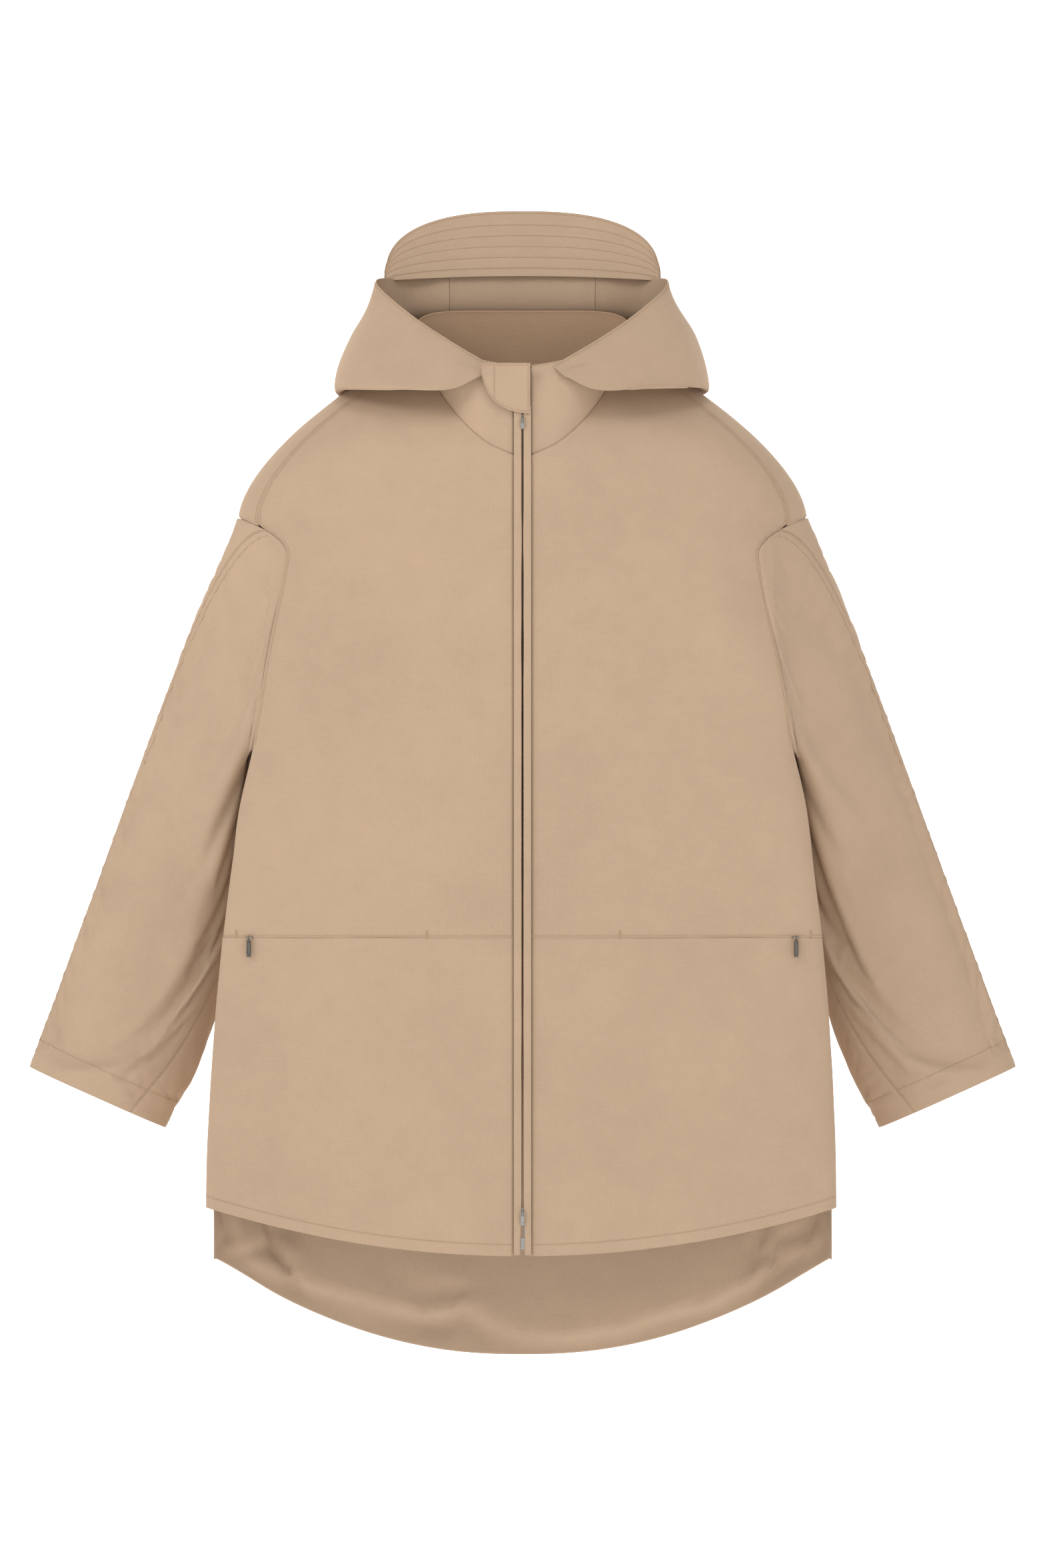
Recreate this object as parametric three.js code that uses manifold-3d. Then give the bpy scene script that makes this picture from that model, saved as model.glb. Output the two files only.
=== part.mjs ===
// A hooded zip jacket, opened as if worn: front panels, back, sleeves, hood with a stiff peak,
// throat tab, a two-way front zip and two pocket zips. Millimetres, +Z up, the front faces -Y,
// and "left" is the wearer's left, at +X. The origin lies between the wearer's shoulders.
import * as THREE from "three";
import { LoftGeometry } from "three/addons/geometries/LoftGeometry.js";
import { mergeGeometries, mergeVertices } from "three/addons/utils/BufferGeometryUtils.js";
import Module from "manifold-3d";

const wasm = await Module();
wasm.setup();

// Cloth and gaps
const cloth = 1.6;
const seamGap = 0.6;
const fit = 0.35;

// Body
const chestHalf = 284;
const hemHalf = 327;
const shoulderHalf = 296;
const neckHalf = 115;
const neckRidgeZ = 52;
const shoulderZ = -126;
const underarmZ = -372;
const scoopZ = -165;
const pocketZ = -562;
const frontSideHemZ = -842;
const frontHemDip = 49;
const backSideHemZ = -897;
const backHemDip = 107;
const frontY = -118;
const frontSlope = 0.08;
const backY = 100;
const neckFrontZ = -60;

// Armhole, sleeve and cuff
const armholeFrontX = 244;
const armholeBackX = 252;
const armholeGap = 3.5;
const sleeveLength = 612;
const sleeveLean = 20.7;
const cuffWidth = 156;
const cuffTilt = 3.4;
const cuffDepth = 74;
const elbowDepth = 104;
const armholeDepth = 128;
const sleeveBackY = 26;

// Hood, collar and peak
const collarFrontZ = 31;
const collarBackZ = 94;
const collarHalf = 117;
const hoodRimZ = 122;
const hoodRimHalf = 153;
const hoodFoldHalf = 188;
const hoodFoldZ = 13;
const hoodPouchZ = -66;
const hoodPouchY = 168;
const hoodSeamHalf = 77;
const peakHalf = 144;
const peakRise = 66;
const peakLean = 24;
const peakLayer = 1.2;

// Throat tab
const tabRightX = 8;
const tabLeftX = -43;
const tabTopZ = 32;
const tabBottomZ = -20;
const snapRadius = 5;

// Front zip
const flapEdge = 1;
const flapWidth = 8;
const flapThick = 2.2;
const zipTopZ = -12;
const zipFootZ = -884;
const chainWidth = 1.7;
const chainDeep = 2.4;
const chainGap = 1;
const tapeWidth = 9;
const tapeThick = 0.8;
const sliderWidth = 8;
const sliderLength = 11;
const boxTall = 12;
const plateThick = 1;
const topPull = 9;
const bottomPull = 13;

// Pockets
const pocketInnerX = 100;
const pocketOuterX = 298;
const pocketDepth = 170;
const pocketSliderInset = 15;
const bagOffset = 18;
const pocketPull = 18;
const pullRadius = 2.3;

const clothColour = { color: 0xc6ab90, roughness: 0.92 };
const liningColour = { color: 0xa3846a, roughness: 0.94 };
const metalColour = { color: 0x8d8983, roughness: 0.32, metalness: 1 };
const darkColour = { color: 0x2b2826, roughness: 0.7 };

const jacket = new THREE.Group();
const at = (x, y, z) => new THREE.Vector3(x, y, z);
const mix = THREE.MathUtils.lerp;
const rad = THREE.MathUtils.degToRad;
const share = (value, from, to) => THREE.MathUtils.clamp((value - from) / (to - from), 0, 1);
const steps = (from, to, count) => Array.from({ length: count + 1 }, (_, i) => mix(from, to, i / count));

function add(name, geometry, look) {
  const mesh = new THREE.Mesh(geometry, new THREE.MeshStandardMaterial(look));
  mesh.name = name;
  jacket.add(mesh);
  return mesh;
}

// Solids for manifold-3d, and back again
function solid(geometry) {
  const bare = geometry.clone();
  bare.deleteAttribute("normal");
  bare.deleteAttribute("uv");
  const merged = mergeVertices(bare, 1e-3);
  const mesh = new wasm.Mesh({
    numProp: 3,
    vertProperties: merged.attributes.position.array,
    triVerts: new Uint32Array(merged.index.array),
  });
  return new wasm.Manifold(mesh);
}

function surface(shape) {
  const mesh = shape.getMesh();
  const geometry = new THREE.BufferGeometry();
  geometry.setAttribute("position", new THREE.BufferAttribute(mesh.vertProperties, 3));
  geometry.setIndex(new THREE.BufferAttribute(mesh.triVerts, 1));
  return geometry;
}

const block = (x0, x1, y0, y1, z0, z1) =>
  new THREE.BoxGeometry(x1 - x0, y1 - y0, z1 - z0).translate((x0 + x1) / 2, (y0 + y1) / 2, (z0 + z1) / 2);

// A layer of cloth: rows of points on its outer face, thickened inwards and closed round its edges.
function layer(rows, thick = cloth) {
  const last = rows.length - 1;
  const wide = rows[0].length - 1;
  const inner = rows.map((row, i) =>
    row.map((point, j) => {
      const across = row[Math.min(j + 1, wide)].clone().sub(row[Math.max(j - 1, 0)]);
      const along = rows[Math.min(i + 1, last)][j].clone().sub(rows[Math.max(i - 1, 0)][j]);
      return point.clone().addScaledVector(along.cross(across).normalize(), thick);
    }),
  );
  const geometry = mergeGeometries([
    new LoftGeometry(rows.map((row, i) => [...row, ...[...inner[i]].reverse()])),
    new LoftGeometry([inner[0], rows[0]], { closed: false }),
    new LoftGeometry([rows[last], inner[last]], { closed: false }),
  ]);
  return facingOut(geometry);
}

// The geometry with its faces turned outwards, whichever way its rows ran.
function facingOut(geometry) {
  const place = geometry.attributes.position;
  const index = geometry.index.array;
  let volume = 0;
  for (let i = 0; i < index.length; i += 3) {
    const [a, b, c] = [0, 1, 2].map((k) => new THREE.Vector3().fromBufferAttribute(place, index[i + k]));
    volume += a.dot(b.cross(c));
  }
  if (volume < 0) index.reverse();
  return geometry;
}

const mirrored = (rows, side) => rows.map((row) => row.map((p) => at(side * p.x, p.y, p.z)));

// Where a cloth's outer face lies is on the left of travel, so a mirrored layer swaps its rows' order.
const sided = (rows, side) => (side > 0 ? rows : mirrored(rows, -1).reverse());

// ---- Body surface: its half width at each height, and the front's and back's place at each x ----

function halfWidth(z) {
  if (z <= underarmZ) return chestHalf + (hemHalf - chestHalf) * (1 - (1 - share(z, underarmZ, frontSideHemZ)) ** 1.9);
  if (z <= shoulderZ) return mix(chestHalf, shoulderHalf, share(z, underarmZ, shoulderZ) ** 2);
  return mix(shoulderHalf, neckHalf, share(z, shoulderZ, neckRidgeZ) ** 1.65);
}

function edgeY(z) {
  if (z <= underarmZ) return mix(-40, -55, share(z, underarmZ, underarmZ - 268));
  if (z <= shoulderZ) return mix(-40, -15, share(z, underarmZ, shoulderZ));
  return mix(-15, 0, share(z, shoulderZ, neckRidgeZ));
}

const corner = (q, power) => (1 - Math.min(q, 1) ** power) ** (1 / power);

function bodyFront(x, z) {
  const middle = mix(frontY, -25, share(z, neckFrontZ, neckRidgeZ) ** 1.8) + frontSlope * x;
  const rise = share(z, underarmZ, shoulderZ);
  const power = z < shoulderZ ? mix(12, 3, rise) : mix(3, 2.2, share(z, shoulderZ, neckRidgeZ));
  return mix(edgeY(z), middle, corner(x / halfWidth(z), power));
}

function bodyBack(x, z) {
  const middle = mix(backY, 60, share(z, underarmZ, neckRidgeZ) ** 3);
  return mix(edgeY(z), middle, corner(Math.abs(x) / halfWidth(z), 2.4));
}

// Seams on the front: the forward shoulder seam, the armhole and the neck
const shoulderSeamX = (z) => halfWidth(z) - 21;
const neckSeamX = (z) => mix(11, 108, share(z, neckFrontZ, neckRidgeZ - 10) ** 0.55);

// The armhole's edge runs in to its scoop and out again to the shoulder.
function armholeX(z, scoop) {
  if (z <= underarmZ || z >= shoulderZ) return halfWidth(z);
  if (z <= scoopZ) return mix(chestHalf, scoop, share(z, underarmZ, scoopZ));
  return mix(scoop, shoulderHalf, share(z, scoopZ, shoulderZ) ** 2);
}

// Points across a row, closer together towards the rounded side.
const acrossTo = (from, to, count) => steps(0, 1, count).map((t) => mix(from, to, 1 - (1 - t) ** 2));

function frontRow(z, from, to, inset = 0) {
  return acrossTo(from, to, 8).map((x) => {
    const y = bodyFront(x, z) + inset;
    return at(x, x > halfWidth(z) - 0.01 ? y - seamGap : y, z);
  });
}

const hemFrontZ = (x) => frontSideHemZ - frontHemDip * (1 - (x / hemHalf) ** 2);
const hemBackZ = (x) => backSideHemZ - backHemDip * Math.max(0, 1 - (Math.abs(x) / (0.98 * hemHalf)) ** 2.2);

// ---- Front panels ----

const frontEdge = flapEdge + flapWidth;
const shoulderStops = [shoulderZ - 3, -100, -75, neckFrontZ, -54, -46, -38, -28, -14, 0, 25];

function frontUpper(side) {
  const heights = [...steps(pocketZ + flapEdge, underarmZ, 4), -335, -290, -240, -190, -165, -148, -137, ...shoulderStops];
  const rows = heights.map((z) => {
    const from = z <= neckFrontZ ? frontEdge + seamGap : neckSeamX(z) + seamGap;
    const to = z > shoulderZ - 6 ? shoulderSeamX(z) : Math.min(armholeX(z, armholeFrontX), halfWidth(z));
    return frontRow(z, from, to);
  });
  return layer(sided(rows, side));
}

function frontLower(side) {
  const top = pocketZ - flapEdge;
  const rows = steps(0, 1, 5).map((t) =>
    steps(0, 1, 8).map((u) => {
      const reach = 1 - (1 - u) ** 2;
      const z = mix(hemFrontZ(reach * hemHalf), top, t);
      const x = mix(frontEdge + seamGap, halfWidth(z), reach);
      return at(x, bodyFront(x, z) - (u === 1 ? seamGap : 0), z);
    }),
  );
  return layer(sided(rows, side));
}

// ---- Back panel: one piece, over the shoulders to the forward shoulder seam ----

function backRow(z, reachZ) {
  const half = halfWidth(z);
  const edge = z > underarmZ && z < shoulderZ ? armholeX(z, armholeBackX) : half;
  const one = acrossTo(0, edge, 8).map((x) => at(x, bodyBack(x, z), reachZ ? reachZ(x) : z));
  if (edge === half) one[8].y += seamGap;
  return [...one.slice(1).reverse().map((p) => at(-p.x, p.y, p.z)), ...one];
}

function backPanel() {
  const low = steps(0, 1, 4).map((t) => backRow(mix(backSideHemZ, pocketZ, t), (x) => mix(hemBackZ(x), pocketZ, t)));
  const high = [...steps(pocketZ, underarmZ, 3).slice(1), -335, -290, -240, -190, -165, -148, -137, shoulderZ - 3, -100, -60, -20, 10, 34];
  return layer([...low, ...high.map((z) => backRow(z))].reverse());
}

function shoulderStrip(side) {
  const rows = [shoulderZ + 1, ...shoulderStops.slice(1)].map((z) => {
    const from = shoulderSeamX(z) + seamGap;
    return acrossTo(from, halfWidth(z), 4).map((x, i) => at(x, bodyFront(x, z) - (i === 4 ? seamGap : 0), z));
  });
  return layer(sided(rows, side));
}

for (const [side, hand] of [[1, "left"], [-1, "right"]]) {
  add("front_upper_" + hand, frontUpper(side), clothColour);
  add("front_lower_" + hand, frontLower(side), clothColour);
  add("shoulder_" + hand, shoulderStrip(side), clothColour);
}
add("back_panel", backPanel(), clothColour);

// ---- Sleeves: rings from the armhole to the cuff, cut at the overarm and under-sleeve seams ----

const lean = rad(sleeveLean);
const down = at(Math.sin(lean), 0, -Math.cos(lean));
const cuffIn = at(-Math.cos(rad(sleeveLean + cuffTilt)), 0, -Math.sin(rad(sleeveLean + cuffTilt)));
const shoulderPoint = at(shoulderHalf + 4, 0, shoulderZ);
const shoulderTurn = at(shoulderHalf + 44, 0, shoulderZ - 97);
const cuffOuter = shoulderPoint.clone().addScaledVector(down, sleeveLength);
const cuffInner = cuffOuter.clone().addScaledVector(cuffIn, cuffWidth);
const forearmIn = cuffOuter.clone().addScaledVector(down, -76).addScaledVector(cuffIn, cuffWidth + 8);
const outerLine = new THREE.CatmullRomCurve3([shoulderPoint, shoulderTurn, cuffOuter]);
const innerLine = new THREE.CatmullRomCurve3([
  at(chestHalf + 7, 0, underarmZ),
  at(chestHalf + 24, 0, underarmZ - 98),
  forearmIn,
  cuffInner,
]);

// A point of the sleeve, t from armhole to cuff and turn from -90 (inside) by the front to 90 (outside).
function sleevePoint(t, turn) {
  const up = Math.sin(rad(turn));
  const back = -Math.cos(rad(turn));
  const depth = t < 0.5 ? mix(armholeDepth, elbowDepth, t / 0.5) : mix(elbowDepth, cuffDepth, share(t, 0.5, 1));
  const middleY = mix(-20, sleeveBackY, share(t, 0, 0.45));
  const ring = innerLine.getPointAt(t).lerp(outerLine.getPointAt(t), (up + 1) / 2);
  ring.y = middleY + (back * depth) / 2;
  const seamZ = mix(underarmZ, shoulderZ, (up + 1) / 2);
  const seamX = armholeX(seamZ, back < 0 ? armholeFrontX : armholeBackX);
  const seam = at(seamX + armholeGap, back < 0 ? bodyFront(seamX, seamZ) : bodyBack(seamX, seamZ), seamZ);
  const settle = share(t, 0, 0.35);
  return seam.lerp(ring, settle * (2 - settle));
}

const overSeam = (t) => mix(62, 86, share(t, 0, 0.3));
const underSeam = (t) => mix(-90, -30, share(t, 0.35, 1));
const sleeveStops = [0, 0.05, 0.1, 0.17, 0.24, 0.32, 0.42, 0.53, 0.66, 0.8, 1];
const seamTurn = 1.1;

function sleeveHalf(side, back) {
  const rows = sleeveStops.map((t) => {
    const from = back ? overSeam(t) + seamTurn : underSeam(t) + seamTurn;
    const to = back ? 360 + underSeam(t) - seamTurn : overSeam(t) - seamTurn;
    return steps(from, to, 10).map((turn) => sleevePoint(t, turn));
  });
  return layer(sided(rows.reverse(), side));
}

for (const [side, hand] of [[1, "left"], [-1, "right"]]) {
  add("sleeve_front_" + hand, sleeveHalf(side, false), clothColour);
  add("sleeve_back_" + hand, sleeveHalf(side, true), clothColour);
}

// ---- Collar: two stand-up fronts and a band behind the neck ----

const backNeckZ = 34;

function collarFront(side) {
  const rows = steps(0, 1, 5).map((v) =>
    steps(0, 1, 7).map((u) => {
      const seamZ = mix(neckFrontZ, 30, u ** 1.5);
      const seamX = neckSeamX(seamZ) - 2 * seamGap;
      const seam = at(seamX, bodyFront(seamX, seamZ), seamZ + 2 * seamGap);
      const rim = at(mix(seamX, 88, u), mix(frontY + 14, -12, u * u), mix(collarFrontZ, 62, u));
      const y = mix(seam.y, rim.y, v ** 8);
      return at(mix(seam.x, rim.x, v), y, mix(seam.z, rim.z, v));
    }),
  );
  return layer(sided(rows, side));
}

function collarBack() {
  const rows = steps(0, 1, 4).map((v) =>
    steps(-1, 1, 14).map((u) => {
      const x = collarHalf * Math.sin((u * Math.PI) / 2);
      const tall = (collarBackZ - backNeckZ - seamGap) * Math.max(corner(Math.abs(x) / collarHalf, 6), 0.3);
      return at(x, bodyBack(x, backNeckZ) - 4 * v, backNeckZ + seamGap + tall * v);
    }),
  );
  return layer(rows.reverse());
}

add("collar_front_left", collarFront(1), clothColour);
add("collar_front_right", collarFront(-1), clothColour);
add("collar_back", collarBack(), liningColour);

// ---- Hood: from its rim out to the fold that lies on the shoulders, and in again to the collar ----
// Each line runs from the throat, round the left side, to the middle of the back.

const rim = new THREE.CatmullRomCurve3([
  at(28, -109, 36),
  at(76, -84, 56),
  at(117, -46, 86),
  at(hoodRimHalf, 12, hoodRimZ),
  at(132, 62, hoodRimZ + 7),
  at(hoodSeamHalf, 66, hoodRimZ + 10),
  at(0, 68, hoodRimZ + 11),
]);
const fold = new THREE.CatmullRomCurve3([
  at(38, -118, 22),
  at(74, -122, 5),
  at(132, -106, 6),
  at(hoodFoldHalf, -50, hoodFoldZ),
  at(170, 76, hoodFoldZ - 20),
  at(hoodSeamHalf, hoodPouchY - 15, hoodPouchZ + 9),
  at(0, hoodPouchY, hoodPouchZ),
]);
const root = new THREE.CatmullRomCurve3([
  at(46, -114, 26),
  at(74, -104, 32),
  at(105, -66, 44),
  at(130, -8, 60),
  at(126, 48, 54),
  at(hoodSeamHalf, 62, 48),
  at(0, 68, 48),
]);
const hoodSeam = 5 / 6;

function hoodSection(t) {
  const [top, low, foot] = [rim, fold, root].map((line) => line.getPoint(t));
  const bulge = mix(3, 34, share(t, 0.5, 0.85));
  const away = at(low.x, low.y, 0).normalize();
  const belly = top.clone().lerp(low, 0.5).addScaledVector(away, bulge);
  const under = low.clone().lerp(foot, 0.5).add(at(0, 0, -6));
  return new THREE.CatmullRomCurve3([top, belly, low, under, foot]).getPoints(12);
}

const hoodSide = (side) => layer(sided(steps(0.01, hoodSeam - 0.002, 11).map(hoodSection), side));

function hoodCentre() {
  const half = steps(hoodSeam + 0.002, 1, 3).map(hoodSection);
  const other = half.slice(0, -1).reverse().map((row) => row.map((p) => at(-p.x, p.y, p.z)));
  return layer([...half, ...other]);
}

add("hood_side_left", hoodSide(1), clothColour);
add("hood_side_right", hoodSide(-1), clothColour);
add("hood_centre", hoodCentre(), clothColour);

// ---- Peak: an outer cloth, a stiffener and a facing cloth, standing on the hood's back rim ----

const peakBaseZ = hoodRimZ + 11.6;
const peakBaseY = 66.4;

function peakLayerAt(step, inset) {
  const rows = steps(-1, 1, 14).map((u) => {
    const x = (peakHalf - inset) * Math.sin((u * Math.PI) / 2);
    const tall = Math.max((peakRise - inset) * corner(Math.abs(x) / (peakHalf - inset), 2.7), 5);
    return steps(0, 1, 4).map((v) => {
      const z = peakBaseZ - 5 * (x / peakHalf) ** 2 + (step ? 2 : 0) + tall * v;
      return at(x, peakBaseY - 4 * (x / peakHalf) ** 2 - step * (peakLayer + fit) + (peakLean * (z - peakBaseZ)) / peakRise, z);
    });
  });
  return layer(rows, peakLayer);
}

add("peak_outer", peakLayerAt(0, 0), clothColour);
add("peak_stiffener", peakLayerAt(1, 4), liningColour);
add("peak_facing", peakLayerAt(2, 0), clothColour);

// ---- Throat tab, with a press stud behind it ----

const flapFrontY = frontY - 1.9;
const tabThick = 2;
const tabBackY = flapFrontY - 0.5;
const snap = { x: -24, z: 8 };

const tabOutline = new THREE.Shape();
tabOutline.moveTo(tabRightX, tabBottomZ);
tabOutline.lineTo(tabRightX, tabTopZ);
tabOutline.lineTo(tabLeftX, tabTopZ);
tabOutline.bezierCurveTo(tabLeftX + 2, tabTopZ - 34, tabLeftX + 22, tabBottomZ + 4, tabRightX, tabBottomZ);
const tabCloth = new THREE.ExtrudeGeometry(tabOutline, { depth: tabThick, bevelEnabled: false, curveSegments: 10 });
add("throat_tab", tabCloth.rotateX(Math.PI / 2), clothColour).position.y = tabBackY;

function snapHalf(name, y0, y1, radius) {
  const disc = new THREE.CylinderGeometry(radius, radius, y1 - y0, 16);
  add(name, disc, metalColour).position.set(snap.x, (y0 + y1) / 2, snap.z);
}

const snapMeetY = tabBackY + 1.8;
snapHalf("snap_socket", tabBackY + fit, snapMeetY, snapRadius);
snapHalf("snap_stud", snapMeetY + fit, frontY + 1.3, snapRadius - 1.5);

// ---- Zips. Across a zip, y is 0 at the slider's front and grows towards the wearer. ----

const frontPlate = [0, plateThick];
const chainY = [plateThick + 0.4, plateThick + 0.4 + chainDeep];
const backPlate = [chainY[1] + 0.4, chainY[1] + 0.4 + plateThick];
const tapeY = [chainY[0] + 0.8, chainY[0] + 0.8 + tapeThick];
const chainX = [chainGap / 2, chainGap / 2 + chainWidth];
const tapeX = [chainX[1] + fit, chainX[1] + fit + tapeWidth];
const webHalf = 0.2;
const lugHalf = 0.5;
const archHalf = 2.1;
const archBar = 0.9;

// A slider whose travel is along z: two plates on a thin web, and an arch that carries the pull.
function sliderSolid(archRise) {
  const half = sliderWidth / 2;
  const plates = new THREE.Shape();
  const outline = [
    [-half, frontPlate[0]], [half, frontPlate[0]], [half, frontPlate[1]], [webHalf, frontPlate[1]],
    [webHalf, backPlate[0]], [half, backPlate[0]], [half, backPlate[1]], [-half, backPlate[1]],
    [-half, backPlate[0]], [-webHalf, backPlate[0]], [-webHalf, frontPlate[1]], [-half, frontPlate[1]],
  ];
  plates.setFromPoints(outline.map(([x, y]) => new THREE.Vector2(x, y)));
  const beam = new THREE.ExtrudeGeometry(plates, { depth: sliderLength, bevelEnabled: false });
  const arch = solid(block(-lugHalf, lugHalf, -archRise, 0.3, -archHalf, archHalf));
  const hole = solid(block(-2, 2, archBar - archRise, 0, archBar - archHalf, archHalf - archBar));
  return surface(solid(beam.translate(0, 0, -sliderLength / 2)).add(arch.subtract(hole)));
}

const mainZip = new THREE.Group();
mainZip.position.set(0, frontY + 0.7, 0);
jacket.add(mainZip);
const mainArchRise = 6.5;
const pullY = -mainArchRise + archBar + 1.1;
const topSliderZ = -27;
const bottomSliderZ = -846;

function mainPullPlate(length) {
  const plate = new THREE.Shape([[-2, 0.6], [2, 0.6], [2, -length], [-2, -length]].map(([x, z]) => new THREE.Vector2(x, z)));
  plate.holes.push(new THREE.Path([[-0.9, -0.6], [-0.9, -4], [0.9, -4], [0.9, -0.6]].map(([x, z]) => new THREE.Vector2(x, z))));
  return new THREE.ExtrudeGeometry(plate, { depth: 1, bevelEnabled: false }).rotateX(Math.PI / 2).translate(0, 0.5, 0);
}

function into(group, name, geometry, look, x = 0, y = 0, z = 0) {
  const mesh = add(name, geometry, look);
  mesh.position.set(x, y, z);
  group.add(mesh);
}

for (const [end, z, length] of [["top", topSliderZ, topPull], ["bottom", bottomSliderZ, bottomPull]]) {
  into(mainZip, "main_slider_" + end, sliderSolid(mainArchRise), metalColour, 0, 0, z);
  into(mainZip, "main_pull_" + end, mainPullPlate(length), metalColour, 0, pullY, z);
}

const chainFootZ = -858;
for (const [side, hand] of [[1, "left"], [-1, "right"]]) {
  const flapFootZ = hemFrontZ(0) + 1;
  const ordered = (from, to) => (side > 0 ? [from, to] : [-to, -from]);
  add("front_flap_" + hand, block(...ordered(flapEdge, frontEdge), flapFrontY, flapFrontY + flapThick, flapFootZ, zipTopZ), clothColour);
  into(mainZip, "main_tape_" + hand, block(...ordered(...tapeX), ...tapeY, zipFootZ + boxTall + seamGap, zipTopZ), darkColour);
  into(mainZip, "main_chain_" + hand, block(...ordered(...chainX), ...chainY, chainFootZ, zipTopZ), darkColour);
}

// The zip's foot: a retainer box on the right chain's end and the left chain's pin, which stands in it.
const pinX = [0.6, 2.1];
const pinSlot = solid(block(pinX[0] - fit, pinX[1] + fit, chainY[0] - fit, 9, zipFootZ + 3, 0));
const boxBlock = solid(block(-2.3, 2.45 + 0.6, 0.4, backPlate[1], zipFootZ, zipFootZ + boxTall));
into(mainZip, "zip_box", surface(boxBlock.subtract(pinSlot)), metalColour);
into(mainZip, "zip_pin", block(...pinX, ...chainY, zipFootZ + 3 + fit, chainFootZ - fit), metalColour);

// ---- Pocket zips, each in a frame of its own whose x runs along the zip ----

const pocketArchRise = 6.6;
const ringInner = 1.2;
const ringOuter = 2.1;
const ringHalf = 0.8;

function pocketPullSolid() {
  const ringProfile = [[ringInner, -ringHalf], [ringOuter, -ringHalf], [ringOuter, ringHalf], [ringInner, ringHalf], [ringInner, -ringHalf]];
  const ring = new THREE.LatheGeometry(ringProfile.map(([r, h]) => new THREE.Vector2(r, h)), 16).rotateZ(Math.PI / 2);
  const neck = new THREE.CylinderGeometry(0.6, 0.6, 2, 8).translate(0, -ringOuter - 0.7, 0).rotateX(Math.PI / 2);
  const rod = new THREE.CylinderGeometry(pullRadius, pullRadius, pocketPull, 14).translate(0, -ringOuter - 1.2 - pocketPull / 2, 0);
  return surface(solid(ring).add(solid(neck)).add(solid(rod.rotateX(Math.PI / 2))));
}

function pocketBag(side) {
  const rows = steps(0, 1, 8).map((v) =>
    steps(0, 1, 8).map((u) => {
      const x = mix(pocketInnerX - 12, pocketOuterX + 2, u);
      const z = mix(pocketZ - pocketDepth, pocketZ + 30, v);
      const swell = bagOffset * Math.sin(Math.PI * u) ** 0.25 * Math.sin(Math.PI * v) ** 0.25;
      return at(x, bodyFront(x, z) + cloth + 1.5 * seamGap + swell, z);
    }),
  );
  return layer(sided(rows, side));
}

for (const [side, hand] of [[1, "left"], [-1, "right"]]) {
  const closedX = pocketOuterX - pocketSliderInset;
  const outer = at(closedX, bodyFront(closedX, pocketZ), pocketZ);
  const inner = at(pocketInnerX + 5, bodyFront(pocketInnerX + 5, pocketZ), pocketZ);
  const zip = new THREE.Group();
  zip.position.set(side * outer.x, outer.y + cloth + 1.1, pocketZ);
  zip.rotation.z = side * Math.atan2(outer.y - inner.y, outer.x - inner.x);
  jacket.add(zip);
  const run = side > 0 ? [inner.x - outer.x - 4, 8] : [-8, outer.x - inner.x + 4];
  for (const [turn, row] of [[1, "upper"], [-1, "lower"]]) {
    const ordered = (from, to) => (turn > 0 ? [from, to] : [-to, -from]);
    into(zip, `pocket_tape_${row}_${hand}`, block(...run, ...tapeY, ...ordered(tapeX[0], tapeX[0] + 6)), darkColour);
    into(zip, `pocket_chain_${row}_${hand}`, block(...run, ...chainY, ...ordered(...chainX)), darkColour);
  }
  into(zip, "pocket_slider_" + hand, sliderSolid(pocketArchRise).rotateY(Math.PI / 2), metalColour);
  into(zip, "pocket_pull_" + hand, pocketPullSolid(), metalColour, 0, archBar / 2 - pocketArchRise, 0);
  add("pocket_bag_" + hand, pocketBag(side), liningColour);
}

export default jacket;
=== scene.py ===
"""A hooded zip jacket: its cloth panels, stitching, zips and trim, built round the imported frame."""
import bisect
import math
from functools import partial

import bmesh
import bpy
from mathutils import Matrix, Vector, noise


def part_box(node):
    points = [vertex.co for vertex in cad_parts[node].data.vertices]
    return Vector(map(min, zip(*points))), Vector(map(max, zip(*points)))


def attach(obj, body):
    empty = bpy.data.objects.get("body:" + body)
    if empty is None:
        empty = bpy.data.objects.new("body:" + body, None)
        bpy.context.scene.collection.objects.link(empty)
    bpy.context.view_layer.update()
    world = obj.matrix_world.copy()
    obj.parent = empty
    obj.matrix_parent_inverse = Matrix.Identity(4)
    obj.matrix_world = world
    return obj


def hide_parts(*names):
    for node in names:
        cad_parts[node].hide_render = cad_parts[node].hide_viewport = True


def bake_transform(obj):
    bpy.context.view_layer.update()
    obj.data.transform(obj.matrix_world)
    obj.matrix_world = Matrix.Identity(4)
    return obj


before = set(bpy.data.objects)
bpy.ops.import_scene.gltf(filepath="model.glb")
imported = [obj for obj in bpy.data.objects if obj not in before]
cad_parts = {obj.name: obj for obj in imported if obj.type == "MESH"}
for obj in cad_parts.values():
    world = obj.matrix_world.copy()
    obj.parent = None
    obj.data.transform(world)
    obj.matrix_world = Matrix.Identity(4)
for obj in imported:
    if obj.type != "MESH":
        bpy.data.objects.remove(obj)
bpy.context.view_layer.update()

bl_info = {
    "name": "Hooded zip jacket",
    "version": (1, 0, 0),
    "blender": (4, 5, 0),
    "location": "3D View > Sidebar > Jacket",
    "description": "Builds a canvas jacket's cloth, stitching and zips round its frame",
    "category": "Object",
}

MM = 0.001
SIDES = ((1, "left"), (-1, "right"))

# ---- Pattern sizes, in metres ----

front_lower_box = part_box("front_lower_left")
back_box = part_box("back_panel")
collar_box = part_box("collar_back")
peak_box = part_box("peak_outer")
tab_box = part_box("throat_tab")
flap_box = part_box("front_flap_left")

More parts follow.
